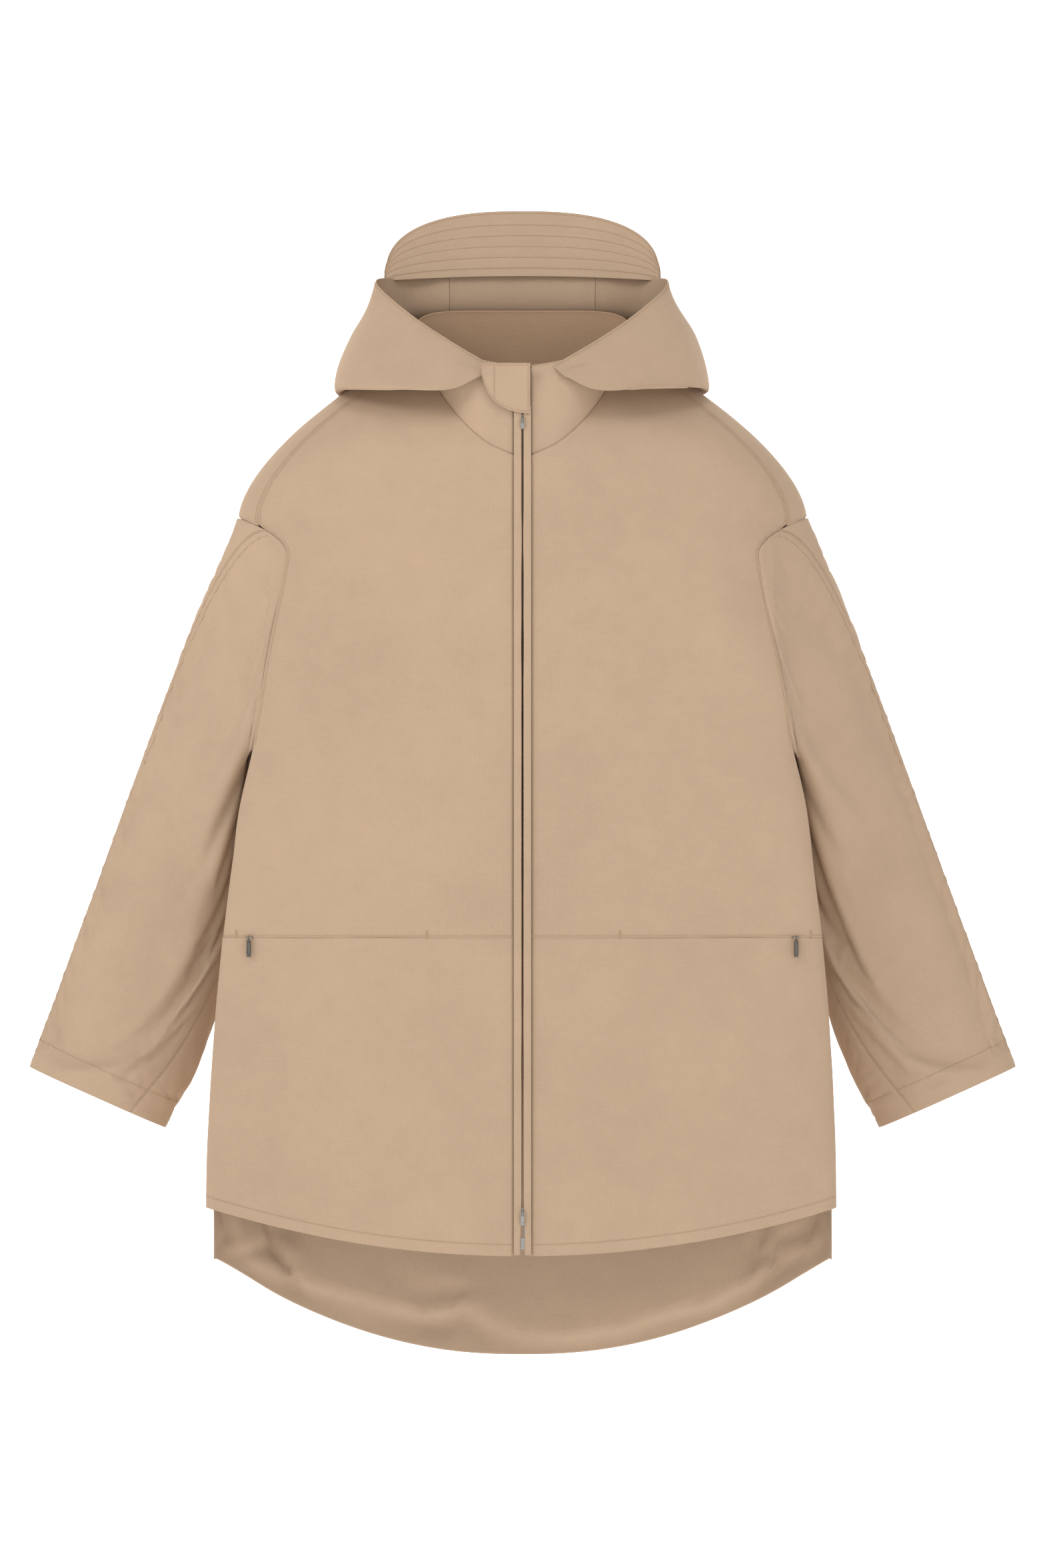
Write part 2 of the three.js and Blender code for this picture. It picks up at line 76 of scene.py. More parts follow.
HEM_HALF = front_lower_box[1].x
CHEST_HALF = 284 * MM
SHOULDER_HALF = 296 * MM
NECK_HALF = 115 * MM
NECK_RIDGE_Z = 52 * MM
NECK_FRONT_Z = -60 * MM
BACK_NECK_Z = back_box[1].z
SHOULDER_Z = -126 * MM
SCOOP_Z = -165 * MM
UNDERARM_Z = -372 * MM
POCKET_Z = -562 * MM
FRONT_SIDE_HEM_Z = -842 * MM
FRONT_HEM_DIP = 49 * MM
BACK_SIDE_HEM_Z = -897 * MM
BACK_HEM_DIP = BACK_SIDE_HEM_Z - back_box[0].z
FRONT_Y = -118 * MM
FRONT_SLOPE = 0.08
BACK_Y = 100 * MM
ARMHOLE_FRONT_X = 244 * MM
ARMHOLE_BACK_X = 252 * MM
SHOULDER_SEAM_IN = 21 * MM
FLAP_EDGE = flap_box[0].x
FRONT_EDGE = flap_box[1].x


def mix(a, b, t):
    return a + (b - a) * t


def share(value, start, end):
    return min(max((value - start) / (end - start), 0.0), 1.0)


def smooth(t):
    return t * t * (3 - 2 * t)


def corner(q, power):
    return max(1 - min(q, 1.0) ** power, 0.0) ** (1 / power)


# ---- The body's surface ----


def half_width(z):
    if z <= UNDERARM_Z:
        flare = 1 - (1 - share(z, UNDERARM_Z, FRONT_SIDE_HEM_Z)) ** 1.9
        return CHEST_HALF + (HEM_HALF - CHEST_HALF) * flare
    if z <= SHOULDER_Z:
        return mix(CHEST_HALF, SHOULDER_HALF, share(z, UNDERARM_Z, SHOULDER_Z) ** 2)
    return mix(SHOULDER_HALF, NECK_HALF, share(z, SHOULDER_Z, NECK_RIDGE_Z) ** 1.65)


def edge_y(z):
    if z <= UNDERARM_Z:
        return mix(-40, -55, share(z, UNDERARM_Z, UNDERARM_Z - 268 * MM)) * MM
    if z <= SHOULDER_Z:
        return mix(-40, -15, share(z, UNDERARM_Z, SHOULDER_Z)) * MM
    return mix(-15, 0, share(z, SHOULDER_Z, NECK_RIDGE_Z)) * MM


def body_front(x, z):
    middle = mix(FRONT_Y, -25 * MM, share(z, NECK_FRONT_Z, NECK_RIDGE_Z) ** 1.8) + FRONT_SLOPE * x
    power = mix(12, 3, share(z, UNDERARM_Z, SHOULDER_Z))
    if z >= SHOULDER_Z:
        power = mix(3, 2.2, share(z, SHOULDER_Z, NECK_RIDGE_Z))
    return mix(edge_y(z), middle, corner(x / half_width(z), power))


def body_back(x, z):
    middle = mix(BACK_Y, 60 * MM, share(z, UNDERARM_Z, NECK_RIDGE_Z) ** 3)
    return mix(edge_y(z), middle, corner(abs(x) / half_width(z), 2.4))


def armhole_x(z, scoop):
    if z <= UNDERARM_Z or z >= SHOULDER_Z:
        return half_width(z)
    if z <= SCOOP_Z:
        return mix(CHEST_HALF, scoop, share(z, UNDERARM_Z, SCOOP_Z))
    return mix(scoop, SHOULDER_HALF, share(z, SCOOP_Z, SHOULDER_Z) ** 2)


def neck_seam_x(z):
    return mix(9.3 * MM, 108 * MM, share(z, NECK_FRONT_Z, NECK_RIDGE_Z - 10 * MM) ** 0.55)


def shoulder_seam_x(z):
    return half_width(z) - SHOULDER_SEAM_IN


def hem_front_z(x):
    return FRONT_SIDE_HEM_Z - FRONT_HEM_DIP * (1 - (x / HEM_HALF) ** 2)


def hem_back_z(x):
    return BACK_SIDE_HEM_Z - BACK_HEM_DIP * max(0.0, 1 - (abs(x) / (0.98 * HEM_HALF)) ** 2.2)


def towards_side(u):
    """Columns lie closer together towards the rounded side."""
    return 1 - (1 - u) ** 1.7


def front_upper_at(u, v):
    z = mix(POCKET_Z, 25 * MM, v)
    start = FRONT_EDGE if z <= NECK_FRONT_Z else neck_seam_x(z)
    end = armhole_x(z, ARMHOLE_FRONT_X)
    if z > SCOOP_Z:
        end = min(end, shoulder_seam_x(z))
    x = mix(start, end, towards_side(u))
    return Vector((x, body_front(x, z), z))


def front_lower_at(u, v):
    z = mix(hem_front_z(towards_side(u) * HEM_HALF), POCKET_Z, v)
    x = mix(FRONT_EDGE, half_width(z), towards_side(u))
    return Vector((x, body_front(x, z), z))


def shoulder_at(u, v):
    z = mix(SHOULDER_Z - 9 * MM, BACK_NECK_Z, v)
    start = shoulder_seam_x(z)
    end = max(start + 0.5 * MM, armhole_x(z, ARMHOLE_FRONT_X))
    x = mix(start, end, towards_side(u))
    return Vector((x, body_front(x, z), z))


def back_at(u, v):
    side = 2 * u - 1
    z = mix(BACK_SIDE_HEM_Z, BACK_NECK_Z, v)
    vent = 1 - 0.016 * share(z, -0.74, -0.83)
    edge = armhole_x(z, ARMHOLE_BACK_X) * vent
    x = math.copysign(edge * towards_side(abs(side)), side)
    z += (hem_back_z(x) - BACK_SIDE_HEM_Z) * (1 - share(z, BACK_SIDE_HEM_Z, POCKET_Z))
    return Vector((x, body_back(x / vent, z) + 1.5 * MM * share(z, -0.74, -0.83), z))


# ---- Zip sizes ----

PITCH = 1.5 * MM
CHAIN_DEEP = 2.4 * MM


# ---- Smooth lines through a few points ----


class Line:
    """A centripetal curve through points, read by t from 0 to 1 along its points or along its length."""

    def __init__(self, points):
        ends = [2 * points[0] - points[1]], [2 * points[-1] - points[-2]]
        self.points = [*ends[0], *points, *ends[1]]
        self.spans = len(points) - 1
        walk = [self.at(i / 200) for i in range(201)]
        self.reach = [0.0]
        for a, b in zip(walk, walk[1:]):
            self.reach.append(self.reach[-1] + (b - a).length)

    def at(self, t):
        place = min(max(t, 0.0), 1.0) * self.spans
        i = min(int(place), self.spans - 1)
        w = place - i
        p = self.points[i : i + 4]
        d = [max((b - a).length ** 0.5, 1e-4) for a, b in zip(p, p[1:])]
        m1 = ((p[1] - p[0]) / d[0] - (p[2] - p[0]) / (d[0] + d[1]) + (p[2] - p[1]) / d[1]) * d[1]
        m2 = ((p[2] - p[1]) / d[1] - (p[3] - p[1]) / (d[1] + d[2]) + (p[3] - p[2]) / d[2]) * d[1]
        a = 2 * (p[1] - p[2]) + m1 + m2
        b = 3 * (p[2] - p[1]) - 2 * m1 - m2
        return ((a * w + b) * w + m1) * w + p[1]

    def at_length(self, t):
        want = min(max(t, 0.0), 1.0) * self.reach[-1]
        i = next((k for k in range(1, 201) if self.reach[k] >= want), 200)
        part = (want - self.reach[i - 1]) / max(self.reach[i] - self.reach[i - 1], 1e-9)
        return self.at((i - 1 + part) / 200)


def line_mm(*points):
    return Line([Vector(p) * MM for p in points])


# ---- Sleeve ----

SLEEVE_LENGTH = 612 * MM
SLEEVE_LEAN = math.radians(20.7)
CUFF_TILT = math.radians(3.4)
CUFF_WIDTH = 156 * MM
CUFF_DEPTH = 74 * MM
ELBOW_DEPTH = 104 * MM
ARMHOLE_DEPTH = 128 * MM
SLEEVE_BACK_Y = 26 * MM
DOWN = Vector((math.sin(SLEEVE_LEAN), 0, -math.cos(SLEEVE_LEAN)))
CUFF_IN = Vector((-math.cos(SLEEVE_LEAN + CUFF_TILT), 0, -math.sin(SLEEVE_LEAN + CUFF_TILT)))
SHOULDER_POINT = Vector((SHOULDER_HALF + 4 * MM, 0, SHOULDER_Z))
CUFF_OUTER = SHOULDER_POINT + DOWN * SLEEVE_LENGTH
OUTER_LINE = Line([SHOULDER_POINT, Vector((SHOULDER_HALF + 44 * MM, 0, SHOULDER_Z - 97 * MM)), CUFF_OUTER])
INNER_LINE = Line(
    [
        Vector((CHEST_HALF + 4 * MM, 0, UNDERARM_Z)),
        Vector((CHEST_HALF + 12.5 * MM, 0, UNDERARM_Z - 98 * MM)),
        Vector((CHEST_HALF + 21 * MM, 0, UNDERARM_Z - 198 * MM)),
        CUFF_OUTER - DOWN * 76 * MM + CUFF_IN * (CUFF_WIDTH + 8 * MM),
        CUFF_OUTER + CUFF_IN * CUFF_WIDTH,
    ]
)


def sleeve_ring(t):
    inner, outer = INNER_LINE.at_length(t), OUTER_LINE.at_length(t)
    if t < 0.5:
        depth = mix(ARMHOLE_DEPTH, ELBOW_DEPTH, t / 0.5)
    else:
        depth = mix(ELBOW_DEPTH, CUFF_DEPTH, share(t, 0.5, 1))
    return inner, outer, depth, mix(-20 * MM, SLEEVE_BACK_Y, share(t, 0, 0.45))


def sleeve_at(t, turn, ring):
    """t runs from armhole to cuff; turn is -90 inside, 0 in front, 90 outside, 180 behind."""
    inner, outer, depth, middle = ring
    up, back = math.sin(math.radians(turn)), -math.cos(math.radians(turn))
    place = inner.lerp(outer, (up + 1) / 2)
    place.y = middle + back * depth / 2
    z = mix(UNDERARM_Z, SHOULDER_Z, (up + 1) / 2)
    x = armhole_x(z, ARMHOLE_FRONT_X if back < 0 else ARMHOLE_BACK_X)
    y = body_front(x, z) if back < 0 else body_back(x, z)
    settle = share(t, 0, 0.35)
    seam = Vector((x + 0.3 * MM, y, z))
    if t <= 0:
        middle_z = (UNDERARM_Z + SHOULDER_Z) / 2
        seam += Vector((-7 * MM, (middle - y) * 0.04, (middle_z - z) * 0.03))
    return seam.lerp(place, settle * (2 - settle))


def over_seam(t):
    return mix(62, 86, share(t, 0, 0.3))


def under_seam(t):
    return mix(-90, -30, share(t, 0.35, 1))


RINGS = {}


def ring_at(t):
    key = round(t, 5)
    if key not in RINGS:
        RINGS[key] = sleeve_ring(t)
    return RINGS[key]


def sleeve_front_at(u, v):
    t = 1 - v
    return sleeve_at(t, mix(under_seam(t), over_seam(t), u), ring_at(t))


def sleeve_back_at(u, v):
    t = 1 - v
    return sleeve_at(t, mix(over_seam(t), 360 + under_seam(t), u), ring_at(t))


# ---- Collar and hood ----

COLLAR_HALF = collar_box[1].x
COLLAR_TOP_Z = collar_box[1].z
RIM = line_mm(
    (28, -109, 28), (76, -85, 57), (117, -46, 86), (153, 12, 122),
    (132, 62, 129), (77, 66, 132), (0, 68, 133),
)
FOLD = line_mm(
    (38, -118, 22), (74, -122, 5), (132, -106, 6), (190, -50, 7),
    (170, 76, -7), (77, 153, -57), (0, 168, -66),
)
ROOT = line_mm(
    (46, -114, 26), (74, -104, 32), (105, -66, 44), (130, -8, 60),
    (126, 48, 54), (77, 62, 48), (0, 68, 48),
)
HOOD_SEAM = 5 / 6


def collar_front_at(u, v):
    seam_z = mix(NECK_FRONT_Z, 30 * MM, u**1.5)
    seam_x = neck_seam_x(seam_z)
    seam_y = body_front(seam_x, seam_z)
    top = Vector((mix(seam_x, 88 * MM, u), mix(FRONT_Y + 14 * MM, -12 * MM, u * u), mix(31, 62, u) * MM))
    tuck = (1 - v) ** 10
    y = mix(seam_y, top.y, v**8) + 1.5 * MM * tuck
    return Vector((mix(seam_x, top.x, v), y, mix(seam_z, top.z, v) - 3 * MM * tuck))


def collar_back_at(u, v):
    x = COLLAR_HALF * math.sin((2 * u - 1) * math.pi / 2)
    tall = (COLLAR_TOP_Z - BACK_NECK_Z) * max(corner(abs(x) / COLLAR_HALF, 6), 0.3)
    return Vector((x, body_back(x, BACK_NECK_Z) - 4 * MM * v, BACK_NECK_Z + tall * v))


SECTIONS = {}


def hood_section(t):
    key = round(t, 5)
    if key not in SECTIONS:
        top, low, foot = RIM.at(t), FOLD.at(t), ROOT.at(t)
        away = Vector((low.x, low.y, 0)).normalized()
        belly = top.lerp(low, 0.5) + away * mix(3, 34, share(t, 0.5, 0.85)) * MM
        under = low.lerp(foot, 0.5) - Vector((0, 0, 6 * MM))
        wall = top.lerp(belly, 0.3).lerp(top + Vector((0, 3 * MM, -38 * MM)), smooth(share(t, 0.45, 0.75)))
        SECTIONS[key] = Line([top, wall, belly, low, under, foot])
    return SECTIONS[key]


def hood_side_at(u, v):
    return hood_section(mix(0.01, HOOD_SEAM, 1 - v)).at(u)


def hood_centre_at(u, v):
    t = mix(HOOD_SEAM, 2 - HOOD_SEAM, v)
    place = hood_section(t if t <= 1 else 2 - t).at(u)
    return place if t <= 1 else Vector((-place.x, place.y, place.z))


# ---- Peak and tab ----

PEAK_HALF = peak_box[1].x
PEAK_BASE_Z = peak_box[0].z + 5 * MM
PEAK_BASE_Y = 66.4 * MM
PEAK_RISE = 66 * MM
PEAK_LEAN = 24 * MM
PEAK_STEP = 1.55 * MM


def peak_at(u, v, step=0, inset=0.0):
    half = PEAK_HALF - inset
    x = half * math.sin((2 * u - 1) * math.pi / 2)
    tall = max((PEAK_RISE - inset) * corner(abs(x) / half, 2.7), 2 * MM)
    bow = (x / PEAK_HALF) ** 2
    foot, lift = ((0, 0), (2, 2), (-3.5, 0))[step]
    z = PEAK_BASE_Z - 5 * MM * bow + mix(foot * MM, tall + lift * MM, v)
    y = PEAK_BASE_Y - 4 * MM * bow - step * PEAK_STEP + PEAK_LEAN * (z - PEAK_BASE_Z) / PEAK_RISE
    return Vector((x, y, z))


def tab_at(u, v):
    low, high = tab_box
    x = mix(low.x, high.x, u)
    tall = max((high.z - low.z) * (1 - (1 - u) ** 2.3) ** (1 / 2.3), 1.2 * MM)
    swell = 1.6 * MM * math.sin(math.pi * u) * math.sin(math.pi * v)
    return Vector((x, low.y - swell, high.z - tall * (1 - v)))


def flap_at(u, v):
    wave = 0.45 * MM * noise.noise(Vector((0.0, 0.0, 1.0 + v * 16)))
    z = mix(flap_box[0].z, flap_box[1].z, v)
    spread = 1.6 * MM * share(z, flap_box[0].z + 60 * MM, flap_box[0].z)
    x = mix(FLAP_EDGE + (wave + 0.1 * MM) + spread, FRONT_EDGE, u)
    return Vector((x, flap_box[0].y - 0.25 * MM * math.sin(math.pi * u), z))


# ---- Shader maths ----


class Value:
    """A socket that arithmetic works on: each operator adds one maths node."""

    def __init__(self, tree, socket):
        self.tree, self.socket = tree, socket

    def maths(self, kind, *others):
        node = self.tree.nodes.new("ShaderNodeMath")
        node.operation = kind
        for place, item in enumerate((self, *others)):
            if isinstance(item, Value):
                self.tree.links.new(item.socket, node.inputs[place])
            else:
                node.inputs[place].default_value = item
        return Value(self.tree, node.outputs[0])

    def __add__(self, other):
        return self.maths("ADD", other)

    def __sub__(self, other):
        return self.maths("SUBTRACT", other)

    def __mul__(self, other):
        return self.maths("MULTIPLY", other)

    __radd__ = __add__
    __rmul__ = __mul__

    def __rsub__(self, other):
        return (self * -1.0) + other

    def wave(self):
        return self.maths("SINE")

    def clamped(self):
        return self.maths("MAXIMUM", 0.0).maths("MINIMUM", 1.0)


class Shader:
    """One material being wired."""

    def __init__(self, name, **fixed):
        self.material = bpy.data.materials.new(name)
        self.material.use_nodes = True
        self.tree = self.material.node_tree
        self.surface = self.tree.nodes["Principled BSDF"]
        for key, value in fixed.items():
            self.surface.inputs[key.replace("_", " ")].default_value = value

    def node(self, kind, settings=None, **inputs):
        made = self.tree.nodes.new(kind)
        for key, value in (settings or {}).items():
            setattr(made, key, value)
        for key, value in inputs.items():
            socket = made.inputs[key.replace("_", " ")]
            if isinstance(value, Value):
                self.tree.links.new(value.socket, socket)
            else:
                socket.default_value = value
        return made

    def out(self, made, name):
        return Value(self.tree, made.outputs[name])

    def uv(self):
        return self.out(self.node("ShaderNodeTexCoord"), "UV")

    def place(self):
        return self.out(self.node("ShaderNodeTexCoord"), "Object")

    def split(self, vector):
        made = self.node("ShaderNodeSeparateXYZ", Vector=vector)
        return self.out(made, "X"), self.out(made, "Y")

    def noise(self, vector, scale, detail=3.0, roughness=0.5, stretch=None):
        if stretch:
            vector = self.out(self.node("ShaderNodeMapping", Vector=vector, Scale=stretch), "Vector")
        made = self.node("ShaderNodeTexNoise", Vector=vector, Scale=scale, Detail=detail, Roughness=roughness)
        return self.out(made, "Fac")

    def colours(self, factor, *colours):
        made = self.node("ShaderNodeValToRGB", Fac=factor)
        ramp = made.color_ramp
        ramp.elements[1].position = 1 / (len(colours) - 1) if len(colours) > 2 else 1.0
        for k, colour in enumerate(colours):
            place = ramp.elements[k] if k < 2 else ramp.elements.new(k / (len(colours) - 1))
            place.color = (*colour, 1.0)
        return self.out(made, "Color")

    def drive(self, name, value):
        self.tree.links.new(value.socket, self.surface.inputs[name])

    def relief(self, height, strength, distance):
        made = self.node("ShaderNodeBump", Height=height, Strength=strength, Distance=distance)
        self.tree.links.new(made.outputs["Normal"], self.surface.inputs["Normal"])


def linear(red, green, blue):
    parts = (c / 255 for c in (red, green, blue))
    return tuple(((c + 0.055) / 1.055) ** 2.4 if c > 0.04 else c / 12.92 for c in parts)


def shaded(colour, by):
    return tuple(c * by for c in colour)


MATERIALS = {}


def woven(name, colour, fuzz=0.25, weave=0.30):
    """Canvas: crossing threads of uneven thickness, faint slubs and slight fading, laid out in UV metres."""
    if name in MATERIALS:
        return MATERIALS[name]
    cloth = Shader(name, Roughness=0.9, Specular_IOR_Level=0.22, Sheen_Weight=fuzz, Sheen_Roughness=0.5)
    cloth.surface.inputs["Sheen Tint"].default_value = (*[min(c * 1.5 + 0.1, 1) for c in colour], 1.0)
    uv, place = cloth.uv(), cloth.place()
    u, v = cloth.split(uv)
    slub_across = cloth.noise(uv, 1.0, 2.0, 0.5, (90.0, 1400.0, 1.0))
    slub_along = cloth.noise(uv, 1.0, 2.0, 0.5, (1400.0, 90.0, 1.0))
    warp = (u * 5200.0 + slub_along * 3.0).wave() * 0.5 + 0.5
    weft = (v * 4700.0 + slub_across * 3.0).wave() * 0.5 + 0.5
    threads = (warp * 0.5 + weft * 0.5) * weave + (slub_across + slub_along) * (0.5 - weave * 0.5)
    fade = cloth.noise(place, 7.0, 4.0, 0.6)
    blotch = cloth.noise(place, 38.0, 3.0, 0.6)
    tone = (threads * 0.46 + fade * 0.34 + blotch * 0.20).clamped()
    shades = [shaded(colour, by) for by in (0.72, 0.98, 1.20)]
    cloth.drive("Base Color", cloth.colours(tone, *shades))
    cloth.drive("Roughness", (0.97 - threads * 0.12).clamped())
    cloth.relief(threads + blotch * 0.5, 0.55, 0.0006)
    MATERIALS[name] = cloth.material
    return cloth.material


def hard_metal(name, colour, rough):
    """Satin metal: fine scratches, and duller patches where it has been handled."""
    if name in MATERIALS:
        return MATERIALS[name]
    metal = Shader(name, Metallic=1.0, Coat_Weight=0.08)
    place = metal.place()
    scratch = metal.noise(place, 1.0, 3.0, 0.6, (260.0, 260.0, 2600.0))
    haze = metal.noise(place, 170.0, 4.0, 0.6)
    tone = haze * 0.7 + scratch * 0.3
    metal.drive("Base Color", metal.colours(tone, shaded(colour, 0.6), colour, shaded(colour, 1.25)))
    metal.drive("Roughness", (rough + (haze - 0.5) * 0.25 + scratch * 0.1).clamped())
    metal.relief(scratch, 0.12, 0.0002)
    MATERIALS[name] = metal.material
    return metal.material


def steel(look):
    """The finish of the sliders, flat pulls and press stud."""
    return hard_metal("metal", look.metal, 0.34)


def zip_cloth(name, colour):
    """Woven tape: close ribs across a satin black ribbon."""
    if name in MATERIALS:
        return MATERIALS[name]
    tape = Shader(name, Roughness=0.7, Specular_IOR_Level=0.35, Sheen_Weight=0.1)
    place = tape.place()
    rib = tape.noise(place, 1.0, 2.0, 0.5, (300.0, 300.0, 2400.0))
    grime = tape.noise(place, 60.0, 3.0)
    tone = rib * 0.6 + grime * 0.4
    tape.drive("Base Color", tape.colours(tone, shaded(colour, 0.55), shaded(colour, 1.7)))
    tape.relief(rib, 0.4, 0.0003)
    MATERIALS[name] = tape.material
    return tape.material


# ---- Meshes ----


def new_object(name, mesh, material, smooth=True):
    data = bpy.data.meshes.new(name + "_look")
    mesh.to_mesh(data)
    mesh.free()
    data.materials.append(material)
    obj = bpy.data.objects.new(data.name, data)
    bpy.context.scene.collection.objects.link(obj)
    if smooth:
        data.shade_smooth()
    return obj


def grid_lines(count, rim, length):
    """Even stops from 0 to 1 with one more close to each end."""
    near = min(rim / max(length, 1e-6), 0.4 / count)
    inner = [mix(near, 1 - near, k / (count - 2)) for k in range(count - 1)]
    return [0.0, *inner, 1.0]


class Sheet:
    """A rectangle of cloth laid on a surface: at(u, v) gives each place, u across and v up."""

    def __init__(self, at, wide, tall, side=1, rim=1.6 * MM):
        self.at, self.side = at, side
        middle = [at(k / 24, 0.5) for k in range(25)]
        upright = [at(0.5, k / 24) for k in range(25)]
        self.width = sum((b - a).length for a, b in zip(middle, middle[1:]))
        self.length = sum((b - a).length for a, b in zip(upright, upright[1:]))
        self.us = grid_lines(wide, rim, self.width)
        self.vs = grid_lines(tall, rim, self.length)
        self.mesh = bmesh.new()
        bmesh.ops.create_grid(self.mesh, x_segments=wide, y_segments=tall, size=1, calc_uvs=True)
        self.mesh.verts.ensure_lookup_table()
        order = sorted(self.mesh.verts, key=lambda v: (round(v.co.y, 4), round(v.co.x, 4)))
        self.rows = [order[k * (wide + 1) : (k + 1) * (wide + 1)] for k in range(tall + 1)]
        self.uv = self.mesh.loops.layers.uv.verify()
        for v, row in zip(self.vs, self.rows):
            for u, vert in zip(self.us, row):
                place = at(u, v)
                vert.co = (side * place.x, place.y, place.z)
        where = {vert: (u, v) for v, row in zip(self.vs, self.rows) for u, vert in zip(self.us, row)}
        for face in self.mesh.faces:
            for loop in face.loops:
                u, v = where[loop.vert]
                loop[self.uv].uv = (u * self.width, v * self.length)
        self.where = where
        self.mesh.normal_update()

    def area(self):
        return sum(face.calc_area() for face in self.mesh.faces)

    def settle(self):
        """Keeps the outer face's places, for what is laid on the sheet later."""
        self.mesh.normal_update()
        self.places = [[(vert.co.copy(), vert.normal.copy()) for vert in row] for row in self.rows]

    def point(self, u, v):
        """The finished place and outward direction at (u, v)."""
        i = max(min(bisect.bisect_right(self.us, u) - 1, len(self.us) - 2), 0)
        j = max(min(bisect.bisect_right(self.vs, v) - 1, len(self.vs) - 2), 0)
        a = (u - self.us[i]) / (self.us[i + 1] - self.us[i])
        b = (v - self.vs[j]) / (self.vs[j + 1] - self.vs[j])
        low, high = self.places[j], self.places[j + 1]
        found = []
        for k in (0, 1):
            below = low[i][k].lerp(low[i + 1][k], a)
            above = high[i][k].lerp(high[i + 1][k], a)
            found.append(below.lerp(above, b))
        return tuple(found)

    def face_away(self, inside):
        """Turns the faces so that they look away from inside(u, v), a place within the jacket."""
        self.mesh.normal_update()
        score = 0.0
        for face in self.mesh.faces:
            u, v = self.where[face.verts[0]]
            hidden = inside(u, v)
            away = face.calc_center_median() - Vector((self.side * hidden.x, hidden.y, hidden.z))
            score += face.normal.dot(away) * face.calc_area()
        if score < 0:
            bmesh.ops.reverse_faces(self.mesh, faces=self.mesh.faces)
        self.mesh.normal_update()

    def push(self, amount):
        """Moves each vertex along its normal by amount(place, u, v)."""
        self.mesh.normal_update()
        moves = [(vert, vert.normal * amount(vert.co, *self.where[vert])) for vert in self.mesh.verts]
        for vert, move in moves:
            vert.co += move
        self.mesh.normal_update()

    def thicken(self, thick):
        """Leaves the laid face outside and moves a copy of it inwards, joined round the edges."""
        self.mesh.normal_update()
        under = {vert: vert.normal * thick for vert in self.mesh.verts}
        laid = self.mesh.faces[:]
        bmesh.ops.extrude_face_region(self.mesh, geom=laid, use_keep_orig=True)
        for vert, move in under.items():
            vert.co -= move
        self.mesh.normal_update()


def undulation(place, size=1.0):
    """Slow hollows and swellings of a thick cloth, the same on both sides of a seam."""
    broad = noise.noise(Vector((place.x * 9, place.y * 9, place.z * 5)))
    fine = noise.noise(Vector((place.x * 26 + 7, place.y * 26, place.z * 17)))
    return size * (1.0 * broad + 0.35 * fine) * MM


def flat_size(width, length, area):
    """The rectangle that a curved panel is cut from."""
    spare = max(area / (width * length), 1.0)
    return width * spare, length


def finish_sheet(sheet, name, material, thick, node, held="hung", rests_on=(), body="torso"):
    area = sheet.area()
    sheet.settle()
    sheet.thicken(thick)
    obj = new_object(name, sheet.mesh, material)
    width, length = flat_size(sheet.width, sheet.length, area)
    size = (max(width, length), max(min(width, length), 10.5 * MM))
    min(area, 0.999 * size[0] * size[1])
    if body:
        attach(obj, body)
    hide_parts(node)
    return obj


# ---- Stitches ----


class Thread:
    """Rows of raised stitches on finished sheets, gathered into one object."""

    def __init__(self):
        self.mesh = bmesh.new()

    def run(self, places, length, gap=0.9 * MM, thick=0.62 * MM):
        """places is a list of (point, normal) along the row."""
        row = bmesh.new()
        reach, want = 0.0, gap
        for (a, _), (b, up) in zip(places, places[1:]):
            step = (b - a).length
            while step > 1e-7 and want <= reach + step:
                middle = a.lerp(b, (want - reach) / step)
                ahead = (b - a).normalized()
                across = up.cross(ahead).normalized()
                above = ahead.cross(across)
                turn = Matrix((ahead, across, above)).transposed().to_4x4()
                shape = Matrix.Diagonal((length, thick, thick * 0.7, 1))
                lift = Matrix.Translation(middle + above * 0.16 * MM)
                bmesh.ops.create_cube(row, size=1, matrix=lift @ turn @ shape)
                want += length + gap
            reach += step
        add_to(self.mesh, row)

    def tack(self, point, normal, along, tall, wide):
        """A bar of close stitches side by side."""
        across = normal.cross(along).normalized()
        count = max(int(tall / (0.75 * MM)), 4)
        for k in range(count):
            middle = point + along * tall * ((k + 0.5) / count - 0.5)
            self.run([(middle - across * wide / 2, normal), (middle + across * wide / 2, normal)], wide, 0.0)

    def made(self, name, material):
        return new_object(name, self.mesh, material, smooth=False)


def edge_path(sheet, edge, inset, start=0.0, end=1.0, count=90):
    """Places along one edge of a sheet, kept an even distance in from it."""

    def across(t, s):
        """The (u, v) that lies s of the way over the sheet from the edge's place t."""
        if edge in ("first", "last"):
            return (s if edge == "first" else 1 - s, t)
        return (t, s if edge == "low" else 1 - s)

    places = []
    for k in range(count + 1):
        t = mix(start, end, k / count)
        edge_point, step = sheet.point(*across(t, 0.0))[0], 0.01
        for _ in range(3):
            gone = max((sheet.point(*across(t, step))[0] - edge_point).length, 1e-6)
            step = min(step * inset / gone, 0.9)
        places.append(sheet.point(*across(t, step)))
    return places


def line_path(sheet, where, count=90):
    return [sheet.point(*where(k / count)) for k in range(count + 1)]


# ---- What the panels are made from ----

SHEETS = {}
RIM_DIP = 0.7 * MM


def seam_dip(sheet, edges, depth=RIM_DIP, reach=5 * MM):
    """How far a place lies below the face near the seamed edges."""

    def amount(u, v):
        away = {
            "first": u * sheet.width,
            "last": (1 - u) * sheet.width,
            "low": v * sheet.length,
            "high": (1 - v) * sheet.length,
        }
        closest = min((away[edge] for edge in edges), default=reach)
        return -depth * (1 - min(closest / reach, 1.0)) ** 2

    return amount


